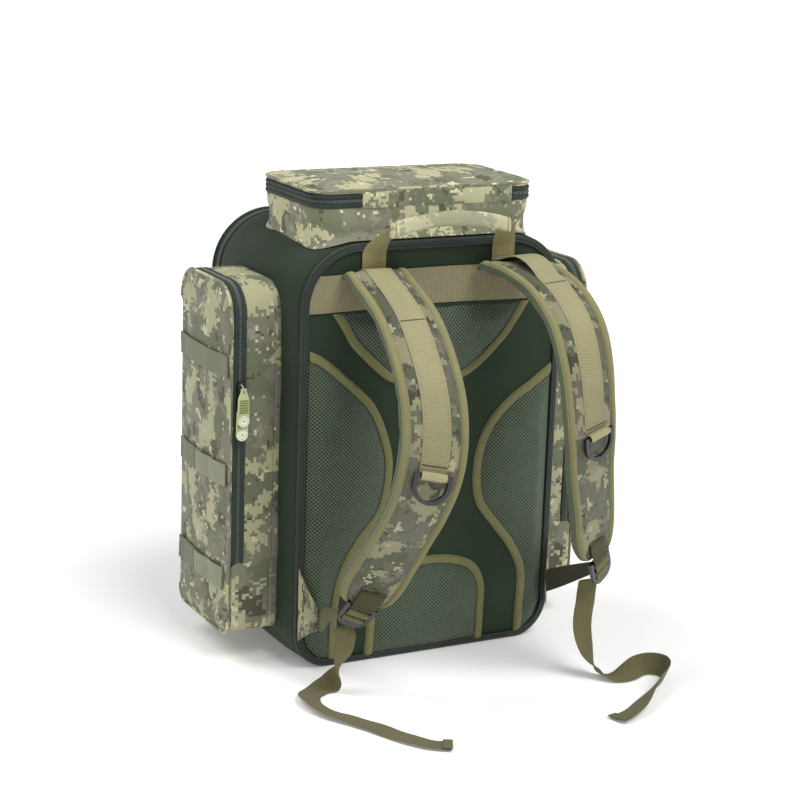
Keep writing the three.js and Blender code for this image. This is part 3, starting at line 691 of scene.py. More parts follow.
def tube(name, path, radius, look, closed=True, sides=8, squash=1.0):
    """A round cord along a path of millimetre points."""
    path = np.asarray(path, float)
    tangent = unit(steps_of(path, closed))
    reference = [0.0, 1.0, 0.0] if np.abs(tangent[:, 1]).max() < 0.9 else [0.0, 0.0, 1.0]
    first = unit(np.cross(tangent, reference))
    second = np.cross(tangent, first)
    angles = turn_round(sides)[:, None]
    ring = first[:, None] * np.cos(angles) + second[:, None] * np.sin(angles) * squash
    grid = path[:, None] + ring * radius
    return lattice(name, grid, look, closed_u=closed, closed_v=True, caps=not closed, sharp=80)


def ribbon(path, way, half, count=9):
    """A grid across a path. half is half its width, as one number or one for each point."""
    edge = np.linspace(-1, 1, count) * np.reshape(half, (-1, 1))
    return path[:, None] + way[:, None] * edge[..., None]


def slab(name, surface, thick, look, closed_u=False, sharp=38.0):
    """A strip of cloth of even thickness over surface[i][j], with its v from edge to edge on both faces."""
    surface = np.asarray(surface, float)
    normal = unit(np.cross(steps_of(surface, closed_u), np.gradient(surface, axis=1)))
    edge = np.ones(surface.shape[1]) * thick / 2
    edge[[0, -1]] *= 0.45
    lift = normal * edge[None, :, None]
    grid = np.concatenate([surface + lift, (surface - lift)[:, ::-1]], axis=1)
    return lattice(name, grid, look, closed_u=closed_u, closed_v=True, caps=not closed_u, sharp=sharp)


def fine_curve(points):
    """Sixty steps for each span of the smooth centripetal curve through the given points."""
    p = np.asarray(points, float)
    p = np.vstack([2 * p[0] - p[1], p, 2 * p[-1] - p[-2]])
    fine = []
    for k in range(1, len(p) - 2):
        x0, x1, x2, x3 = p[k - 1:k + 3]
        d0, d1, d2 = (max(((b - a) ** 2).sum() ** 0.25, 1e-4) for a, b in ((x0, x1), (x1, x2), (x2, x3)))
        t1 = ((x1 - x0) / d0 - (x2 - x0) / (d0 + d1) + (x2 - x1) / d1) * d1
        t2 = ((x2 - x1) / d1 - (x3 - x1) / (d1 + d2) + (x3 - x2) / d2) * d1
        t = np.linspace(0, 1, 60, endpoint=k == len(p) - 3)[:, None]
        square, cube = 3 * (x2 - x1) - 2 * t1 - t2, 2 * (x1 - x2) + t1 + t2
        fine.append(x1 + t1 * t + square * t ** 2 + cube * t ** 3)
    return np.vstack(fine)


def points_at(at, run, points):
    """The points at the given distances along a line whose own points lie at run."""
    return np.stack([np.interp(at, run, column) for column in points.T], axis=1)


def catmull(points, count):
    """Points evenly spaced along the smooth curve through the given ones."""
    fine = fine_curve(points)
    run = lengths(fine, False)
    return points_at(np.linspace(0, run[-1], count), run, fine)


# A place function maps a panel's own across, up and out to space, as arrays of one shape.
def along_y(start, sign=1):
    def place(a, b, d):
        return np.stack([a, start + sign * d, b], axis=-1)
    return place


def along_x(sign):
    def place(a, b, d):
        return np.stack([sign * (160.3 + d), -2 + a, b], axis=-1)
    return place


def metres(points):
    return [tuple(float(c) * MM for c in p) for p in points]


# ---- cords: the loose tails ----
TAIL_HALF = 12.5    # half the width of a 25 mm webbing
TAIL_POINTS = 90
# Where a tail turns from hanging to lying flat, in shares of its length.
TAIL_TURN = {"left": (0.04, 0.24), "right": (0.12, 0.36)}
# Where a tail leans up on one edge: the share of its length, and the angle in degrees.
TAIL_LEAN = {
    "left": [(0, 0), (0.3, 0), (0.42, 24), (0.55, 10), (0.75, 0), (0.93, 8), (1, 0)],
    "right": [(0, 0), (0.37, 0), (0.48, 52), (0.58, 70), (0.7, 66), (0.84, 30), (1, 6)],
}


def make_tails():
    for side, (turn_from, turn_to) in TAIL_TURN.items():
        path = catmull(TAILS[side], TAIL_POINTS)
        tangent = unit(np.gradient(path, axis=0))
        u = np.linspace(0, 1, TAIL_POINTS)
        look = np.round(9 * (1 - smooth(u, 0.3, 0.42))).astype(int)
        ahead = tangent[np.minimum(np.arange(TAIL_POINTS) + look, TAIL_POINTS - 1)]
        flat = unit(np.cross(ahead, [0, 0, 1])) * (1 if side == "left" else -1)
        lying = smooth(u, turn_from, turn_to)[:, None]
        width = square_to(tangent, [1.0, 0, 0] * (1 - lying) + flat * lying)
        lift = unit(np.cross(tangent, width))
        lift *= np.sign(lift[:, 2:] + 1e-9)
        lean = np.radians(np.interp(u, *np.array(TAIL_LEAN[side]).T))
        lean = np.convolve(np.pad(lean, 4, "edge"), np.ones(9) / 9, "valid")
        width, lift = (width * np.cos(lean)[:, None] + lift * np.sin(lean)[:, None],
                       lift * np.cos(lean)[:, None] - width * np.sin(lean)[:, None])
        path[:, 2] += np.abs(np.sin(lean)) * TAIL_HALF
        ripple = np.sin(u * 46) * 0.35 * smooth(u, 0.3, 0.5) + 0.35
        curl = ripple[:, None] * np.linspace(-1, 1, 9)[None] ** 2
        surface = ribbon(path, width, TAIL_HALF) + lift[:, None] * curl[..., None]
        surface[..., 2] = np.maximum(surface[..., 2], 1.15)
        tail = soften(slab(f"{side}_tail_webbing", surface, 1.5, "olive"))
        hem = slab(f"{side}_tail_hem", surface[-4:] + lift[-4:, None] * 1.4 + [0, 0, 0.2], 1.4, "olive")
        fit(hem, "bag")
        length = float(lengths(path, False)[-1]) * MM
        ground_point = (path[2][0], path[2][1], 12)
        fit(tail, (f"{side}_strap", "bag", *metres([path[2], ground_point])), f"{side}_tail")
        metres(path)[0]
        metres(path)


# ---- body and pockets ----
GROOVE = 0.2    # where a gusset's side seam runs, as a share of its depth
SEAM_SHARES = GROOVE + np.array([-0.03, -0.012, 0, 0.012, 0.03])


def gusset(name, spec, place, base, zip_at, face_at, fold, wall, bulge, seed, look, step=6.0, shoulder=0.0,
           groove=1.3):
    """The cloth wall round a pocket, from its base out to the zip, and on to the face below the fold."""
    ring, normals = outline(spec, step)
    share = np.sort(np.concatenate([np.linspace(0, 1, 13), SEAM_SHARES]))
    limit = np.where(ring[:, 1] > fold, zip_at, face_at)
    depth = base + share[None] * (limit - base)[:, None]
    swelling = np.sin(math.pi * share) ** 0.7
    at = ring[:, None].repeat(len(share), axis=1)
    where = place(at[..., 0], at[..., 1], depth)
    rough = wobble(where, 55, seed) * 1.6 + wobble(where, 22, seed + 3) * 0.7
    corner = np.clip(np.abs(normals[:, 0] * normals[:, 1]) * 2, 0, 1) * (normals[:, 1] > 0)
    out = (bulge + shoulder * corner)[:, None] * swelling[None] + 1.25 * rough * swelling[None] ** 0.8
    out = out - groove * np.exp(-(((share - GROOVE) / 0.012) ** 2))[None]
    outer = at + normals[:, None] * out[..., None]
    outer[..., 1] = np.maximum(outer[..., 1], 0.4)
    inner = at - normals[:, None] * wall
    flat = np.concatenate([outer, inner[:, ::-1]], axis=1)
    deep = np.concatenate([depth, depth[:, ::-1]], axis=1)
    grid = place(flat[..., 0], flat[..., 1], deep)
    return soften(lattice(name, grid, look, closed_u=True, closed_v=True))


def zip_run(spec, fold):
    """The part of an outline above the fold, with its two ends on the fold."""
    ring, normals = outline(spec, 6.0)
    keep = np.nonzero(ring[:, 1] > fold + 1.5)[0]
    points = np.vstack([[(spec["x1"], fold + 0.6)], ring[keep], [(spec["x0"], fold + 0.6)]])
    sides = np.vstack([[(1, 0)], normals[keep], [(-1, 0)]])
    return points, sides


COIL_STEP = 0.72    # a third of a tooth


def zip_band(name, node, points, sides, place, start, width, body, ridge=1.1):
    """A zip's tape with a lip on each side, and its coil."""
    half = [(-0.1, 0.0), (ridge, 0.07), (ridge + 0.2, 0.22), (0.5, 0.33), (0.1, 0.4)]
    back = [(-2.6, 1.0), (-2.6, 0.0)]
    out, share = np.array([*half, (0.0, 0.5), *((o, 1 - s) for o, s in half[::-1]), *back]).T
    grid = points[:, None] + sides[:, None] * out[:, None]
    deep = (start + share * width)[None].repeat(len(points), 0)
    tape = lattice(name, place(grid[..., 0], grid[..., 1], deep), "zip", closed_v=True, caps=True)
    fit(tape, body, node)
    run = lengths(points, False)
    at = np.arange(0.6, run[-1] - 0.6, COIL_STEP)
    line = points_at(at, run, points)
    way = unit(points_at(at, run, sides))
    angles = turn_round(8)
    pulse = np.where(np.arange(len(at)) % 3 == 0, 0.3, 1.0)
    out = 0.4 + np.cos(angles)[None] * 1.2 * pulse[:, None]
    deep = start + width / 2 + np.sin(angles)[None] * 2.3 * (pulse[:, None] * 0.4 + 0.6)
    grid = line[:, None] + way[:, None] * out[..., None]
    teeth = place(grid[..., 0], grid[..., 1], deep)
    fit(lattice(name + "_coil", teeth, "coil", closed_v=True, caps=True, sharp=60), body)


PIPING = 1.9    # the radius of a pocket's edge piping


def crowned(crown, soft_edge, seed, place, reach=24.0, wrinkle=0.9):
    """The height of a stuffed panel over its edge."""
    def height(points, distance):
        rise = crown * (1 - np.exp(-((distance / reach) ** 1.25)))
        edge = soft_edge * (1 - smooth(distance, 0, 4.5)) ** 2
        where = place(points[:, 0], points[:, 1], np.zeros(len(points)))
        ruck = wobble(where, 40, seed) * wrinkle + wobble(where, 16, seed + 5) * wrinkle * 0.35
        return rise - edge + ruck * smooth(distance, 3, 22)
    return height


def make_face(name, node, spec, place, face_at, top, fold, crown, bodies, look, seed, cap,
              piping="camo_bright", spacing=7.0):
    """A pocket's outer panel with its edge piping, baked in place."""
    loop, normals = outline(spec, 6.0)

    def here(a, b, d):
        return place(a, b, top + d)

    face = panel(name, loop, crowned(crown, 1.6, seed, here), spacing, here, face_at + 0.4 - top, look,
                 swell=(3.0, 0.012, cap, 6.0), rim=-1.4)
    middle = (spec["x0"] + spec["x1"]) / 2
    across = (*bodies, *metres([here(middle, fold - 9, 0), here(middle, fold + 9, 0)]))
    ring = loop + normals * 0.3
    ring[:, 1] = np.maximum(ring[:, 1], PIPING)
    # the piping takes the brightened camouflage unless given: painted light
    cord = tube(name + "_piping", here(ring[:, 0], ring[:, 1], np.full(len(ring), -0.9)), PIPING, piping)
    fit(face, across, node)
    fit(cord, across)
    return face


DROP = 40.0    # how far out the points start that drop onto a pocket's face


def lie_on(tree, points, outward, lift):
    """The points dropped onto a surface along its outward way, then lifted off it."""
    lain = []
    for point in points.reshape(-1, 3):
        start = Vector((point + outward * DROP) * MM)
        hit = tree.ray_cast(start, Vector(-outward))[0]
        lain.append(np.array(hit) / MM if hit is not None else point)
    return np.array(lain).reshape(points.shape) + outward * lift[:, None, None]


def make_side_pocket(side, sign):
    place, outward = along_x(sign), np.array([sign, 0.0, 0.0])
    flap = f"{side}_flap"
    wall = gusset(f"{side}_pocket_gusset", SIDE_POCKET, place, 0.0, 42.5, 56.8, 116.2, 3.0, 1.2, 3, "camo")
    fit(wall, "bag", f"{side}_pocket_shell")
    zip_band(f"{side}_zip_tape", f"{side}_pocket_zip", *zip_run(SIDE_POCKET, 116.3), place, 42.2, 14.3, "bag")
    face = make_face(f"{side}_pocket_face", f"{side}_pocket_flap", SIDE_POCKET, place, 56.8, 60.7, 116.3, 7.0,
                     ("bag", flap), "camo", 11 if side == "left" else 23, 4.0)
    tree = BVHTree.FromObject(face, bpy.context.evaluated_depsgraph_get())
    for name, level in MOLLE_LEVELS.items():
        for k, (first, last, look, loops, stand) in enumerate(MOLLE_PARTS.get(name, MOLLE_PAIR)):
            a = np.linspace(first, last, 40)
            b = np.linspace(level + 0.2, level + 24.8, 9)
            grid = place(*np.broadcast_arrays(a[:, None], b[None]), np.full((40, 9), 90.0))
            loop = np.abs(np.sin((a - first) / (last - first) * loops * math.pi)) ** 0.6
            laid = lie_on(tree, grid, outward, 1.2 + loop * stand)
            band = f"{side}_molle_{name}"
            rider = "bag" if name == "lower" else flap
            fit(slab(f"{band}_band_{k}", laid, 1.5, look), rider, None if k else band)
            for end in (0, 39):
                tack = laid[end] + outward * 0.9
                fit(tube(f"{band}_tack_{k}_{end}", tack, 0.55, "dark_olive", closed=False, sides=6), rider)


def make_body():
    place, back = along_y(0), along_y(PANEL_Y, -1)
    wall = gusset("body_gusset", BODY, place, -110.0, 108.5, 114.6, 52.2, 6.0, 3.5, 7, "green", step=7.0,
                  shoulder=5.0, groove=0.0)
    fit(wall, "bag", "main_shell")
    zip_band("body_zip_tape", "main_zip", *zip_run(BODY, 52.3), place, 106.6, 8.1, "bag", ridge=0.5)
    make_face("body_lid_face", "front_panel", BODY, place, 114.6, 124.2, 52.3, 0.6, ("bag", "front_lid"),
              "green", 31, 1.0, piping="piping", spacing=9.0)

    loop, _ = outline(BODY, 6.0, grow=-4.4)
    height = crowned(0.9, 0.8, 41, back, 30, 0.5)
    cloth = panel("back_cloth", loop, height, 9.0, back, -5.9, "green", rim=-0.8)
    fit(cloth, "bag", "back_panel")
    for name, grow, y, radius in (("outer", -2.3, -114.6, 2.9), ("inner", -7.2, -117.3, 1.7)):
        ring, _ = outline(BODY, 5.0, grow=grow)
        ring[:, 1] = np.maximum(ring[:, 1], radius)
        path = back(ring[:, 0], ring[:, 1], np.full(len(ring), PANEL_Y - y))
        cord = tube(f"back_{name}_piping", path, radius, "piping")
        fit(cord, "bag", "back_piping" if name == "outer" else None)
    ring, normals = outline(BODY, 5.0)
    grid = ring[:, None] + normals[:, None] * np.array([-3.0, -4.5, -6.5])[None, :, None]
    deep = np.array([1.2, 2.0, 1.6])[None].repeat(len(ring), 0)
    fit(slab("back_edge_tape", back(grid[..., 0], grid[..., 1], deep), 0.8, "zip", closed_u=True), "bag")


def make_front_pocket():
    place = along_y(125.3)
    wall = gusset("front_pocket_gusset", FRONT_POCKET, place, 0.3, 21.6, 33.8, 116.2, 3.0, 0.8, 13, "camo")
    fit(wall, "front_lid", "front_pocket_shell")
    run = zip_run(FRONT_POCKET, 116.3)
    zip_band("front_zip_tape", "front_pocket_zip", *run, place, 21.3, 12.1, "front_lid")
    make_face("front_pocket_face", "front_pocket_flap", FRONT_POCKET, place, 33.8, 37.2, 116.3, 5.0,
              ("front_lid", "front_flap"), "camo", 19, 3.0)


def top_of_body(x, y):
    """The height of the body's rounded and padded top, whose padding runs out at the piping."""
    past = np.maximum(np.abs(x) - 92, 0)
    padding = np.minimum(np.sin(math.pi * np.clip((y + 110) / 217, 0.01, 1)) ** 0.7 * 1.1, 1)
    return 404 + np.sqrt(np.maximum(68.0 ** 2 - past ** 2, 0)) + (3.0 + 0.13 * past) * padding


# The skirt of the top pocket: how far each row stands out, and how high over the body.
SKIRT = ((10.6, 0.2), (10.3, 1.2), (7.2, 3.0), (3.4, 4.9), (0.6, 6.6), (0.0, 9.0))
SKIRT_TAPER = 0.935    # how narrow the top pocket's foot is across the bag
TOP_ZIP_Z = 507.0
TOP_HINGE_Y = -98


def make_top_pocket():
    ring, normals = outline(TOP_POCKET, 5.0)
    rows, taper = [], np.array([SKIRT_TAPER, 1.0])
    for grow, lift in SKIRT:
        edge = ring * taper + normals * [grow * 0.75, grow]
        rows.append(np.column_stack([edge, top_of_body(*edge.T) + lift]))
    foot = rows[-1][:, 2]
    for share in (0.2, 0.4, 0.6, 0.8, 0.95, 1.0):
        height = foot + (TOP_ZIP_Z + 0.4 - foot) * share
        puff = 1.6 * math.sin(math.pi * share)
        flat = np.column_stack([ring, height])
        ruck = wobble(flat * [1, 1, 0.7], 26, 5) * 1.9 + wobble(flat, 11, 8) * 0.6
        edge = ring * (taper + (1 - taper) * share ** 0.8)
        edge = edge + normals * (puff + ruck * math.sin(math.pi * min(share, 0.98)) ** 0.6)[:, None]
        rows.append(np.column_stack([edge, height]))
    edge = ring - normals * 3.2
    for height in (TOP_ZIP_Z + 0.2, 466.0):
        rows.append(np.column_stack([edge, np.maximum(height, top_of_body(*edge.T) + 1)]))
    # the top pocket's wall, hinge cloth, lid and piping use the brightened camouflage: painted light
    wall = lattice("top_pocket_wall", np.stack(rows, axis=1), "camo_bright", closed_u=True, closed_v=True)
    fit(soften(wall), "bag", "top_pocket_shell")

    def level(a, b, d):
        return np.stack([a, b, d], axis=-1)

    def on_top(a, b, d):
        return level(a, b, 526.2 + d)

    hinge = (ring[:, 1] < TOP_HINGE_Y + 0.01) & (ring[:, 0] > -83) & (ring[:, 0] < 100)
    points = np.vstack([[(100.5, TOP_HINGE_Y)], ring[~hinge], [(-83.5, TOP_HINGE_Y)]])
    sides = np.vstack([[(0, -1)], normals[~hinge], [(0, -1)]])
    zip_band("top_zip_tape", "top_pocket_zip", points, sides, level, TOP_ZIP_Z, 14.5, "bag", ridge=1.6)
    x, z = np.meshgrid(np.linspace(-83, 100, 40), np.linspace(506, 523.2, 5), indexing="ij")
    grid = level(x, np.full(x.shape, TOP_HINGE_Y - 0.3), z)
    grid[..., 1] += wobble(grid, 18, 3) * 0.7
    strip = slab("top_hinge_cloth", grid, 1.6, "camo_bright")
    fit(strip, ("bag", "top_lid", *metres([(0, TOP_HINGE_Y, 516), (0, TOP_HINGE_Y, 523)])))
    height = crowned(7.0, 1.4, 29, on_top, 34, 0.8)
    lid = panel("top_lid_cloth", ring, height, 7.0, on_top, -4.0, "camo_bright", swell=(3.0, 0.01, 3.0, 6.0),
                rim=-1.4)
    fit(lid, "top_lid", "top_lid")
    edge = ring + normals * (0.4 - 1.8 * smooth(-normals[:, 1], 0.5, 1))[:, None]
    fit(tube("top_lid_piping", on_top(*edge.T, np.full(len(ring), -1.2)), PIPING, "camo_bright"), "top_lid")


# ---- back pads, yoke and patches ----
# Each mesh pad's outline, as its first corner, its curve with a sewn binding, and its last corners.
PADS = {
    "top": ([(118, 398)],
            [(105, 378), (92, 360), (72, 340), (54, 325), (30, 313), (0, 308), (-32, 312), (-56, 320),
             (-70, 331), (-86, 346), (-101, 362), (-112, 380), (-124, 398)], []),
    "left": ([(-150, 360)],
             [(-134, 352), (-110, 333), (-90, 315), (-71, 295), (-56, 265), (-47, 232), (-48, 200),
              (-57, 168), (-80, 140), (-99, 108), (-108, 72), (-110, 38), (-110, 8)],
             [(-130, 11), (-143, 23), (-150, 42)]),
    "right": ([(150, 324)],
              [(124, 306), (96, 288), (74, 266), (60, 238), (55, 205), (60, 170), (80, 142), (104, 112),
               (118, 82), (118, 40), (117, 8)],
              [(130, 11), (143, 23), (150, 42)]),
    "bottom": ([(75, 6)],
               [(76, 40), (75, 74), (62, 98), (36, 110), (0, 114), (-36, 110), (-60, 98), (-71, 74),
                (-73, 40), (-75, 6)], []),
}
BINDING = 9.5    # how far a pad's binding reaches from its seam


def make_back_pads():
    for name, (start, spline, end) in PADS.items():
        curve = catmull([(x, z, 0) for x, z in start + spline], 130)[:, :2]
        loop = [*curve]
        for corner in np.array(end + start, float):
            last = loop[-1]
            steps = max(1, round(float(np.linalg.norm(corner - last)) / 5))
            loop += [last + (corner - last) * k / steps for k in range(1, steps + 1)]
        loop = np.array(loop[:-1])
        tangent = unit(np.gradient(curve, axis=0))
        normal = np.stack([-tangent[:, 1], tangent[:, 0]], axis=1)
        sewn = np.vstack([curve[0] - tangent[0] * 20, curve, curve[-1] + tangent[-1] * 20])
        extra = []
        for offset in (2.0, 4.8, 7.6, BINDING - 0.25, BINDING + 0.25):
            for sign in (-1, 1):
                line = curve + normal * sign * offset
                extra += [p for p in line[line_distance(line, curve) > offset - 0.05]]

        def height(points, distance):
            bound = line_distance(points, sewn)
            roll = 2.6 + 1.5 * np.sin(math.pi * np.clip(bound / BINDING, 0, 1)) ** 0.6
            beyond = np.maximum(bound - BINDING, 0)
            crown = 1.3 + 8.0 * (1 - np.exp(-beyond / 17)) * smooth(distance, 0, 18)
            where = np.column_stack([points, np.full(len(points), 3.0)])
            crown += wobble(where, 30, 2) * 0.5 * smooth(distance, 4, 20)
            return np.where(bound < BINDING, roll, crown) - 1.5 * (1 - smooth(distance, 0, 2.5))

        def look_of(points):
            return (line_distance(points, sewn) < BINDING).astype(int).tolist()

        place = along_y(PANEL_Y - 0.4, -1)
        looks = ("mesh", "binding")
        pad = panel(f"mesh_pad_{name}_cloth", loop, height, 5.0, place, -0.1, looks, look_of, extra)
        co = np.array([v.co for v in pad.data.vertices]) / MM
        flat = co[:, [0, 2]]
        free = (edge_distance(flat, loop) > 5) & (line_distance(flat, curve) > BINDING + 1.0)
        free &= co[:, 1] < PANEL_Y - 1.0
        simulate(pad, ~free, 2.5, 0.006, 1.6)
        fit(pad, "bag", f"mesh_pad_{name}")


def make_yoke():
    t, z = np.meshgrid(np.linspace(-1, 1, 90), np.linspace(401, 441, 9), indexing="ij")
    reach = 92 + np.sqrt(61.2 ** 2 - np.maximum(z - 404, 0) ** 2)
    grid = np.stack([t * reach, np.full(t.shape, -118.0), z], axis=-1)
    sag = wobble(grid, 60, 4) * 0.9
    grid[..., 1] += 1.4 * smooth(np.abs(t), 0.93, 0.98) - np.abs(sag) * (1 - np.abs(t) ** 6)
    grid[..., 2] += 1.4 * np.cos(t * math.pi)
    fit(slab("yoke_band", grid, 1.7, "yoke"), "bag", "yoke_webbing")


PATCH_REACH = 0.93    # how far a corner patch goes towards its strap's tip


def make_patches():
    for side, sign in (("left", -1), ("right", 1)):
        tip = np.array(HARNESS[side]["tip"], float)
        root_x, root_y = sign * 158.0, PANEL_Y - 4.0
        s, t = np.meshgrid(np.linspace(0, 1, 16), np.linspace(0, 1, 14), indexing="ij")
        low = 36 + (tip[2] - 13 - 36) * s
        high = 120 + (tip[2] + 13 - 120) * s
        x = root_x + (tip[0] - root_x) * s * PATCH_REACH
        y = root_y + (tip[1] - root_y) * s * PATCH_REACH - 1.6 * np.sin(math.pi * s) * np.sin(math.pi * t)
        z = low + (high - low) * t - 4.4 * np.sin(math.pi * s) * (t - 0.5)
        patch = slab(f"{side}_corner_cloth", np.stack([x, y, z], axis=-1), 1.8, "camo")
        fit(patch, "bag", f"{side}_corner_patch")


# Each leg's place across the bag, its lean and how much it narrows.
HANDLE_LEGS = {"left": (-77.0, 9.0, 7.0), "right": (81.0, -9.0, 4.0)}
HANDLE_PATH = ((-117.6, 442), (-118.2, 452), (-119, 464), (-129.5, 480), (-145, 492))
GRIP_ROWS, GRIP_SIDES = 56, 28


def make_handle():
    for name, (x, lean, narrow) in HANDLE_LEGS.items():
        path = catmull([(x, y, z) for y, z in HANDLE_PATH], 30)
        u = np.linspace(0, 1, 30)
        bent = smooth(u, 0.3, 1)
        path[:, 0] += lean * bent
        surface = ribbon(path, np.array([[1.0, 0, 0]]), 14.0 - narrow * bent)
        surface[..., 1] -= (1 - np.linspace(-1, 1, 9)[None] ** 2) * 3.0 * smooth(u, 0.35, 0.9)[:, None]
        leg = slab(f"handle_{name}_leg", surface, 1.6, "handle")
        fit(leg, ("bag", "handle", *metres([(0, -117.5, 450), (0, -119, 468)])),
            "handle_webbing" if name == "left" else None)
    t = np.linspace(0, 1, GRIP_ROWS)
    arch = 4 * t * (1 - t)
    low, high = 479.5 + 11.5 * arch, 497.0 + 10.0 * arch
    swell = 1 - 0.1 * np.abs(2 * t - 1) ** 14
    flat = 1 - 0.5 * smooth(np.abs(2 * t - 1), 0.8, 1)
    c, s = np.cos(turn_round(GRIP_SIDES)), np.sin(turn_round(GRIP_SIDES))
    grid = np.zeros((GRIP_ROWS, GRIP_SIDES, 3))
    grid[..., 0] = (-73 + 146 * t)[:, None]
    grid[..., 1] = -145 + (np.sign(c) * np.abs(c) ** 0.8)[None] * 6.0 * flat[:, None]
    round_z = np.sign(s) * np.abs(s) ** 0.72
    grid[..., 2] = ((low + high) / 2)[:, None] + round_z[None] * ((high - low) / 2 * swell)[:, None]
    grid[..., 1] += wobble(grid * [0.55, 1, 1], 13, 6) * 0.8 * np.sign(c)[None]
    grid[..., 2] += wobble(grid * [0.4, 1, 1], 24, 9) * 0.8
    # the sleeve's camouflage is brightened 1.5 times as painted light and faded 55% towards pale khaki
    grip = soften(lattice("handle_sleeve", grid, "camo_pale", closed_v=True, caps=True))
    fit(grip, "handle", "handle_grip")
    for k, ring in enumerate((grid[2], grid[-3])):
        middle = ring.mean(0)
        fit(tube(f"handle_hem_{k}", middle + (ring - middle) * 1.02, 0.5, "handle"), "handle")


# ---- shoulder straps ----
def strap_frames(side, shares):
    """Points along a strap's face with the ways along it, across it and out of it."""
    spec = HARNESS[side]
    fine = fine_curve(spec["face"])
    run = lengths(fine, False)
    at = np.asarray(shares) * run[-1]
    ahead, behind = np.minimum(at + 1, run[-1]), np.maximum(at - 1, 0)
    tangent = unit(points_at(ahead, run, fine) - points_at(behind, run, fine))
    turns = fine_curve([(i, t, 0) for i, t in enumerate(spec["turn"])])[:, 1]
    turn = np.radians(np.interp(np.asarray(shares) * (len(turns) - 1), np.arange(len(turns)), turns))
    across = square_to(tangent, np.stack([np.cos(turn), np.sin(turn), np.zeros(len(turn))], axis=1))
    return points_at(at, run, fine), tangent, across, unit(np.cross(tangent, across))


def frame_at(side, share):
    """The point and the ways of one place on a strap."""
    return (values[0] for values in strap_frames(side, [share]))


LEAD = np.linspace(0, 1, 6)[:-1, None]    # the rows that lead from the yoke to a strap's first point


def lead_in(line, first, back, down, hump=0.0):
    """A line with five more points before it, from a root on the yoke below the strap's first point."""
    root = np.array([first[0], PANEL_Y - back, first[2] - down])
    return np.vstack([root + (line[0] - root) * LEAD + [0, 0, hump] * np.sin(math.pi * LEAD), line])


def led(ways):
    """The ways for a line that lead_in has made longer."""
    return np.vstack([ways[:1].repeat(len(LEAD), 0), ways])


# A shoulder pad's section as (across, out): its outer face from the edge to the middle, and half of its back.
PAD_TOP = [(-35.2, -3.4), (-34.6, -1.2), (-32, 0.5), (-29, 0.5), (-27.2, -0.9), (-26.3, -2.5), (-25.0, -2.1),
           (-21.5, -0.5), (-17, -0.5), (-14, -0.9), (-9, -0.7), (-4.5, -0.6), (0, -0.6)]
PAD_SIDE = [(36.3, -6.5), (36.0, -10.5), (33.4, -13.4), (20, -14.2), (0, -14.4)]
PAD_SECTION = np.array(PAD_TOP + [(-s, n) for s, n in PAD_TOP[-2::-1]] + PAD_SIDE
                       + [(-s, n) for s, n in PAD_SIDE[-2::-1]])
FACE_COUNT = len(PAD_TOP) * 2 - 1
# the pads' faces take the darkened camouflage as painted shade, and the brightened binding as painted light
PAD_LOOKS = ("camo_shaded", "lit_strap_binding", "foam", "mesh")
CLOTH, BOUND, FOAM, LINING = range(4)


def pad_look(j):
    """Which look the j-th side of the section has."""
    if j < FACE_COUNT - 1:
        return CLOTH if 5 <= j < FACE_COUNT - 6 else BOUND
    return FOAM if j <= FACE_COUNT or j >= len(PAD_SECTION) - 2 else LINING


def make_pad(side, sign, joint):
    u = np.linspace(0, 1, 96)
    point, tangent, across, up = strap_frames(side, u)
    toward = np.array(HARNESS[side]["buckle"], float) - point[-1]
    point = point + (tangent * 3.0 + toward * 0.38) * smooth(u, 0.86, 1.0)[:, None]
    point = lead_in(point, point[0], 2.0, 7.0, 2.0)
    across, up = led(across), led(up)
    u = np.concatenate([np.full(5, -0.01), u])
    narrow = 0.5 + 0.5 * np.sqrt(1 - (0.97 * np.clip((u - 0.93) / 0.07, 0, 1)) ** 2)
    thin = 1 - 0.45 * smooth(u, 0.95, 1.0) - 0.4 * smooth(-u, -0.03, 0.01)
    s = PAD_SECTION[None, :, 0] * narrow[:, None]
    n = PAD_SECTION[None, :, 1] * np.where(PAD_SECTION[None, :, 1] < -3, thin[:, None], 1.0)
    grid = point[:, None] + across[:, None] * s[..., None] + up[:, None] * n[..., None]
    columns = len(PAD_SECTION)
    inner = np.zeros(columns)
    inner[7:FACE_COUNT - 7] = 1.0
    inner[FACE_COUNT + 1:-1] = 0.6
    ruck = wobble(grid, 17, 3 + sign) * 0.7 + wobble(grid, 40, 6 + sign) * 0.8
    grid += up[:, None] * (ruck * inner[None])[..., None]
    looks = [pad_look(j) for j in range(columns)]
    pad = lattice(f"{side}_pad", grid, PAD_LOOKS, looks, closed_v=True, caps=True)
    row, column = np.divmod(np.arange(len(grid) * columns), columns)
    free = ((column > 6) & (column < FACE_COUNT - 7)) | (column >= FACE_COUNT + 2)
    free &= (row > 6) & (row < len(grid) - 4)
    simulate(pad, ~free, 2.0, 0.012, 1.8)
    fit(soften(pad), joint, f"{side}_shoulder_pad")


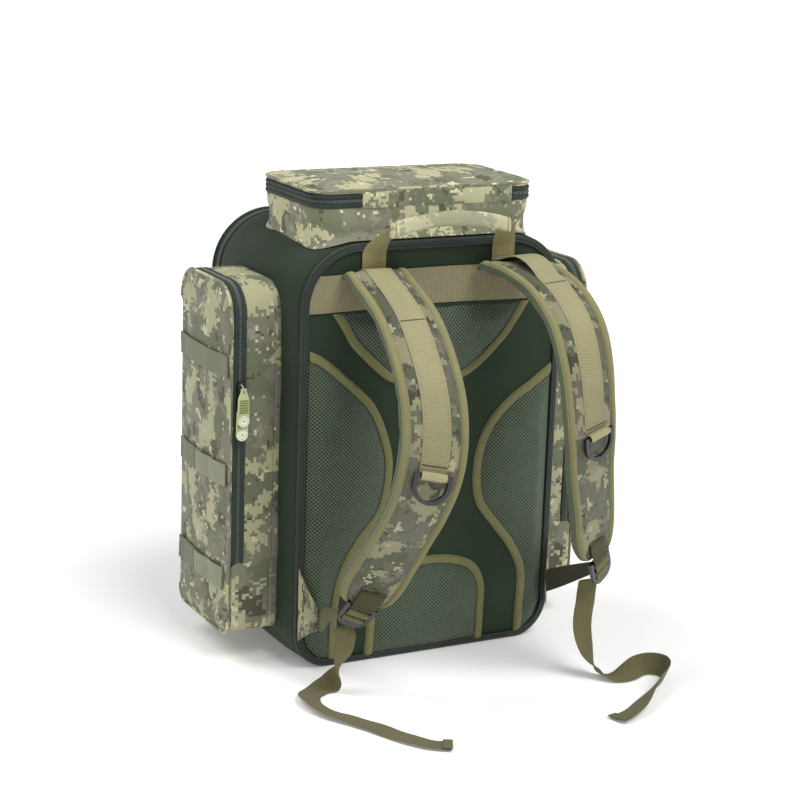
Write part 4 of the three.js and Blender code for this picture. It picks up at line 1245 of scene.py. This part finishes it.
def make_strap(side):
    sign = -1 if side == "left" else 1
    body = f"{side}_strap"
    joint = ("bag", body, *metres([(sign * 80, -117, 440), (sign * 80, -142, 440)]))
    make_pad(side, sign, joint)
    ring_at = HARNESS[side]["ring_at"]
    shares = np.linspace(0, ring_at + 0.015, 70)
    point, _, across, up = strap_frames(side, shares)
    loose = 8.5 * np.sin(math.pi * np.clip(shares / 0.17, 0, 1)) if side == "right" else np.zeros(70)
    middle = lead_in(point + up * (0.9 + loose)[:, None], point[0], 3.0, 2.0)
    web = slab(f"{side}_strap_web", ribbon(middle, led(across), 15), 1.6, "tan")
    fit(web, joint, f"{side}_strap_webbing")
    point, tangent, across, up = frame_at(side, ring_at)
    angles = turn_round(24)[:, None]
    ring = point + up * 5.5 + (tangent * np.cos(angles) + up * np.sin(angles)) * 3.9
    keeper = ribbon(ring, across[None], 14, 7)
    fit(slab(f"{side}_keeper", keeper, 1.3, "tan", closed_u=True, sharp=70), body)
    for k, share in enumerate((0.2, ring_at - 0.022)):
        point, _, across, up = frame_at(side, share)
        line = point + up * 1.9 + across * np.linspace(-13.5, 13.5, 14)[:, None]
        fit(tube(f"{side}_strap_tack_{k}", line, 0.45, "dark_olive", closed=False, sides=6), body)
    make_buckle(side, body)


# The webbing that wraps each bar of a ladder lock, as (along, out) from the middle of the lock.
BUCKLE_WRAPS = (
    [(-7.6, -4.0), (-8.2, -0.6), (-7.4, 2.7), (-4.6, 3.4), (-1.9, 3.1), (-0.4, 0.8), (-0.2, -2.6)],
    [(2.2, -3.2), (1.8, -0.4), (2.6, 2.2), (5.2, 2.7), (7.4, 2.0), (8.0, -0.6), (7.6, -3.4)],
)
END_WEB = [(-16.5, 3.0), (-13.6, 3.6), (-11.2, 2.2), (-10.6, -0.8), (-11.2, -3.2)]


def make_buckle(side, body):
    spec = HARNESS[side]
    shares = np.linspace(0.985, 1.0, 6)
    face, _, wide, out = strap_frames(side, shares)
    centre, tip = np.array(spec["buckle"], float), np.array(spec["tip"], float)
    along = unit(centre - face[-1])
    across = square_to(along, wide[-1])
    up = np.cross(along, across)
    down = np.cross(up, -across)

    def local(places):
        return [centre + down * y + up * z for y, z in places]

    lift = 0.8 + 1.4 * smooth(shares, 0.985, 0.992)
    path = catmull([*(face + out * lift[:, None]), *local(END_WEB)], 44)
    ways = unit(wide[:1] + (across - wide[:1]) * np.linspace(0, 1, 44)[:, None])
    fit(slab(f"{side}_end_web", ribbon(path, ways, np.linspace(15, 13.5, 44)), 1.5, "dark_olive"), body)
    for k, places in enumerate(BUCKLE_WRAPS):
        grid = ribbon(catmull(local(places), 26), across[None], 12.6)
        fit(slab(f"{side}_buckle_wrap_{k}", grid, 1.5, "olive"), f"{side}_buckle")

    start = local([(0, -5.4)])[0] + along * 2
    reach = tip - start
    t = np.linspace(0, 1, 34)[:, None]
    width = square_to(unit(reach), across * (1 - 0.9 * t) + [0, 0, 1.0] * (0.9 * t))
    # the right lower web is dark olive as painted shade, where it hangs in shade below the buckle; the left one
    # is olive
    lower = slab(f"{side}_lower_web", ribbon(start + reach * t, width, 12.5), 1.5,
                 "olive" if side == "left" else "dark_olive")
    fit(lower, (body, "bag", *metres([start + reach * 0.15, tip])), f"{side}_lower_webbing")


# ---- zip sliders ----
# Each slider's place, the way its zip runs, the way out, and how far its tab is lifted off the one below.
SLIDERS = {
    "left_zip_upper": ((-210, -73.1, 314), (0, 0, 1), (0, -1, 0), 3.2),
    "left_zip_lower": ((-210, -73.1, 298), (0, 0, 1), (0, -1, 0), 0.0),
    "right_zip_upper": ((210, -73.1, 314), (0, 0, 1), (0, -1, 0), 3.2),
    "right_zip_lower": ((210, -73.1, 298), (0, 0, 1), (0, -1, 0), 0.0),
    "top_zip": ((-6, 49.1, 514.7), (1, 0, 0), (0, 1, 0), 0.0),
    "main_zip": ((0, 111, 473.1), (1, 0, 0), (0, 0, 1), 0.0),
    "front_zip": ((0, 153, 335.1), (1, 0, 0), (0, 0, 1), 0.0),
}
TAB_RINGS = ((5.3, 0.7), (2.9, 1.3))    # radius and thickness
TAB_RING_AT = -33.6
TAB_RIBS = [-11 - 2.6 * k for k in range(6)]


def make_slider_details():
    for name, (origin, along, away, lift) in SLIDERS.items():
        origin, x, z = np.array(origin, float), np.array(along, float), np.array(away, float)
        y = np.cross(z, x)

        def at(a, b, c):
            return origin + x * a + y * b + z * c

        top = 8.3 + lift
        tab = f"{name}_tab"
        arch = ((-5.4, 4.0), (-4.2, 6.2 + lift), (0, 7.1 + lift * 1.6), (4.2, 6.2), (5.4, 4.0))
        bridge = catmull([at(a, 0, c) for a, c in arch], 22)
        fit(tube(f"{name}_bridge", bridge, 0.95, "bail", closed=False, sides=10), f"{name}_slider")
        link = [at(5.0 * math.cos(a) - 4.6, 2.5 * math.sin(a), top - 1.25) for a in turn_round(26)]
        fit(tube(f"{name}_link", link, 0.8, "bail"), tab)
        for k, a in enumerate(TAB_RIBS):
            line = np.linspace(at(a, -4.9, top + 0.1), at(a, 4.9, top + 0.1), 7)
            fit(tube(f"{name}_rib_{k}", line, 0.75, "rubber_dark", closed=False), tab)
        for k, (radius, thick) in enumerate(TAB_RINGS):
            ring = [at(TAB_RING_AT + radius * math.cos(a), radius * math.sin(a), top + 0.15)
                    for a in turn_round(28)]
            fit(tube(f"{name}_ring_{k}", ring, thick, "rubber_pale", squash=0.6), tab)


# The CAD parts that stay, by the end of their names, with the look and the rounding each gets.
HARD_PARTS = {"slider": ("metal", 0.7), "_tab": ("rubber", 0.9), "buckle": ("plastic", 1.3),
              "d_ring": ("plastic", 1.3), "board": ("board", 0.4)}


def finish_hard_parts():
    for name, node in NODES.items():
        for ending, (look, rounding) in HARD_PARTS.items():
            if not name.endswith(ending):
                continue
            node.data.materials.clear()
            node.data.materials.append(LOOKS[look])
            bevel = node.modifiers.new("rounded", "BEVEL")
            bevel.width = rounding * MM
            bevel.segments = 3
            bevel.limit_method = "ANGLE"
            bevel.angle_limit = math.radians(35)


make_stage()
make_tails()
make_body()
make_side_pocket("left", -1)
make_side_pocket("right", 1)
make_front_pocket()
make_top_pocket()
make_back_pads()
make_yoke()
make_patches()
make_handle()
make_strap("left")
make_strap("right")
make_slider_details()
finish_hard_parts()
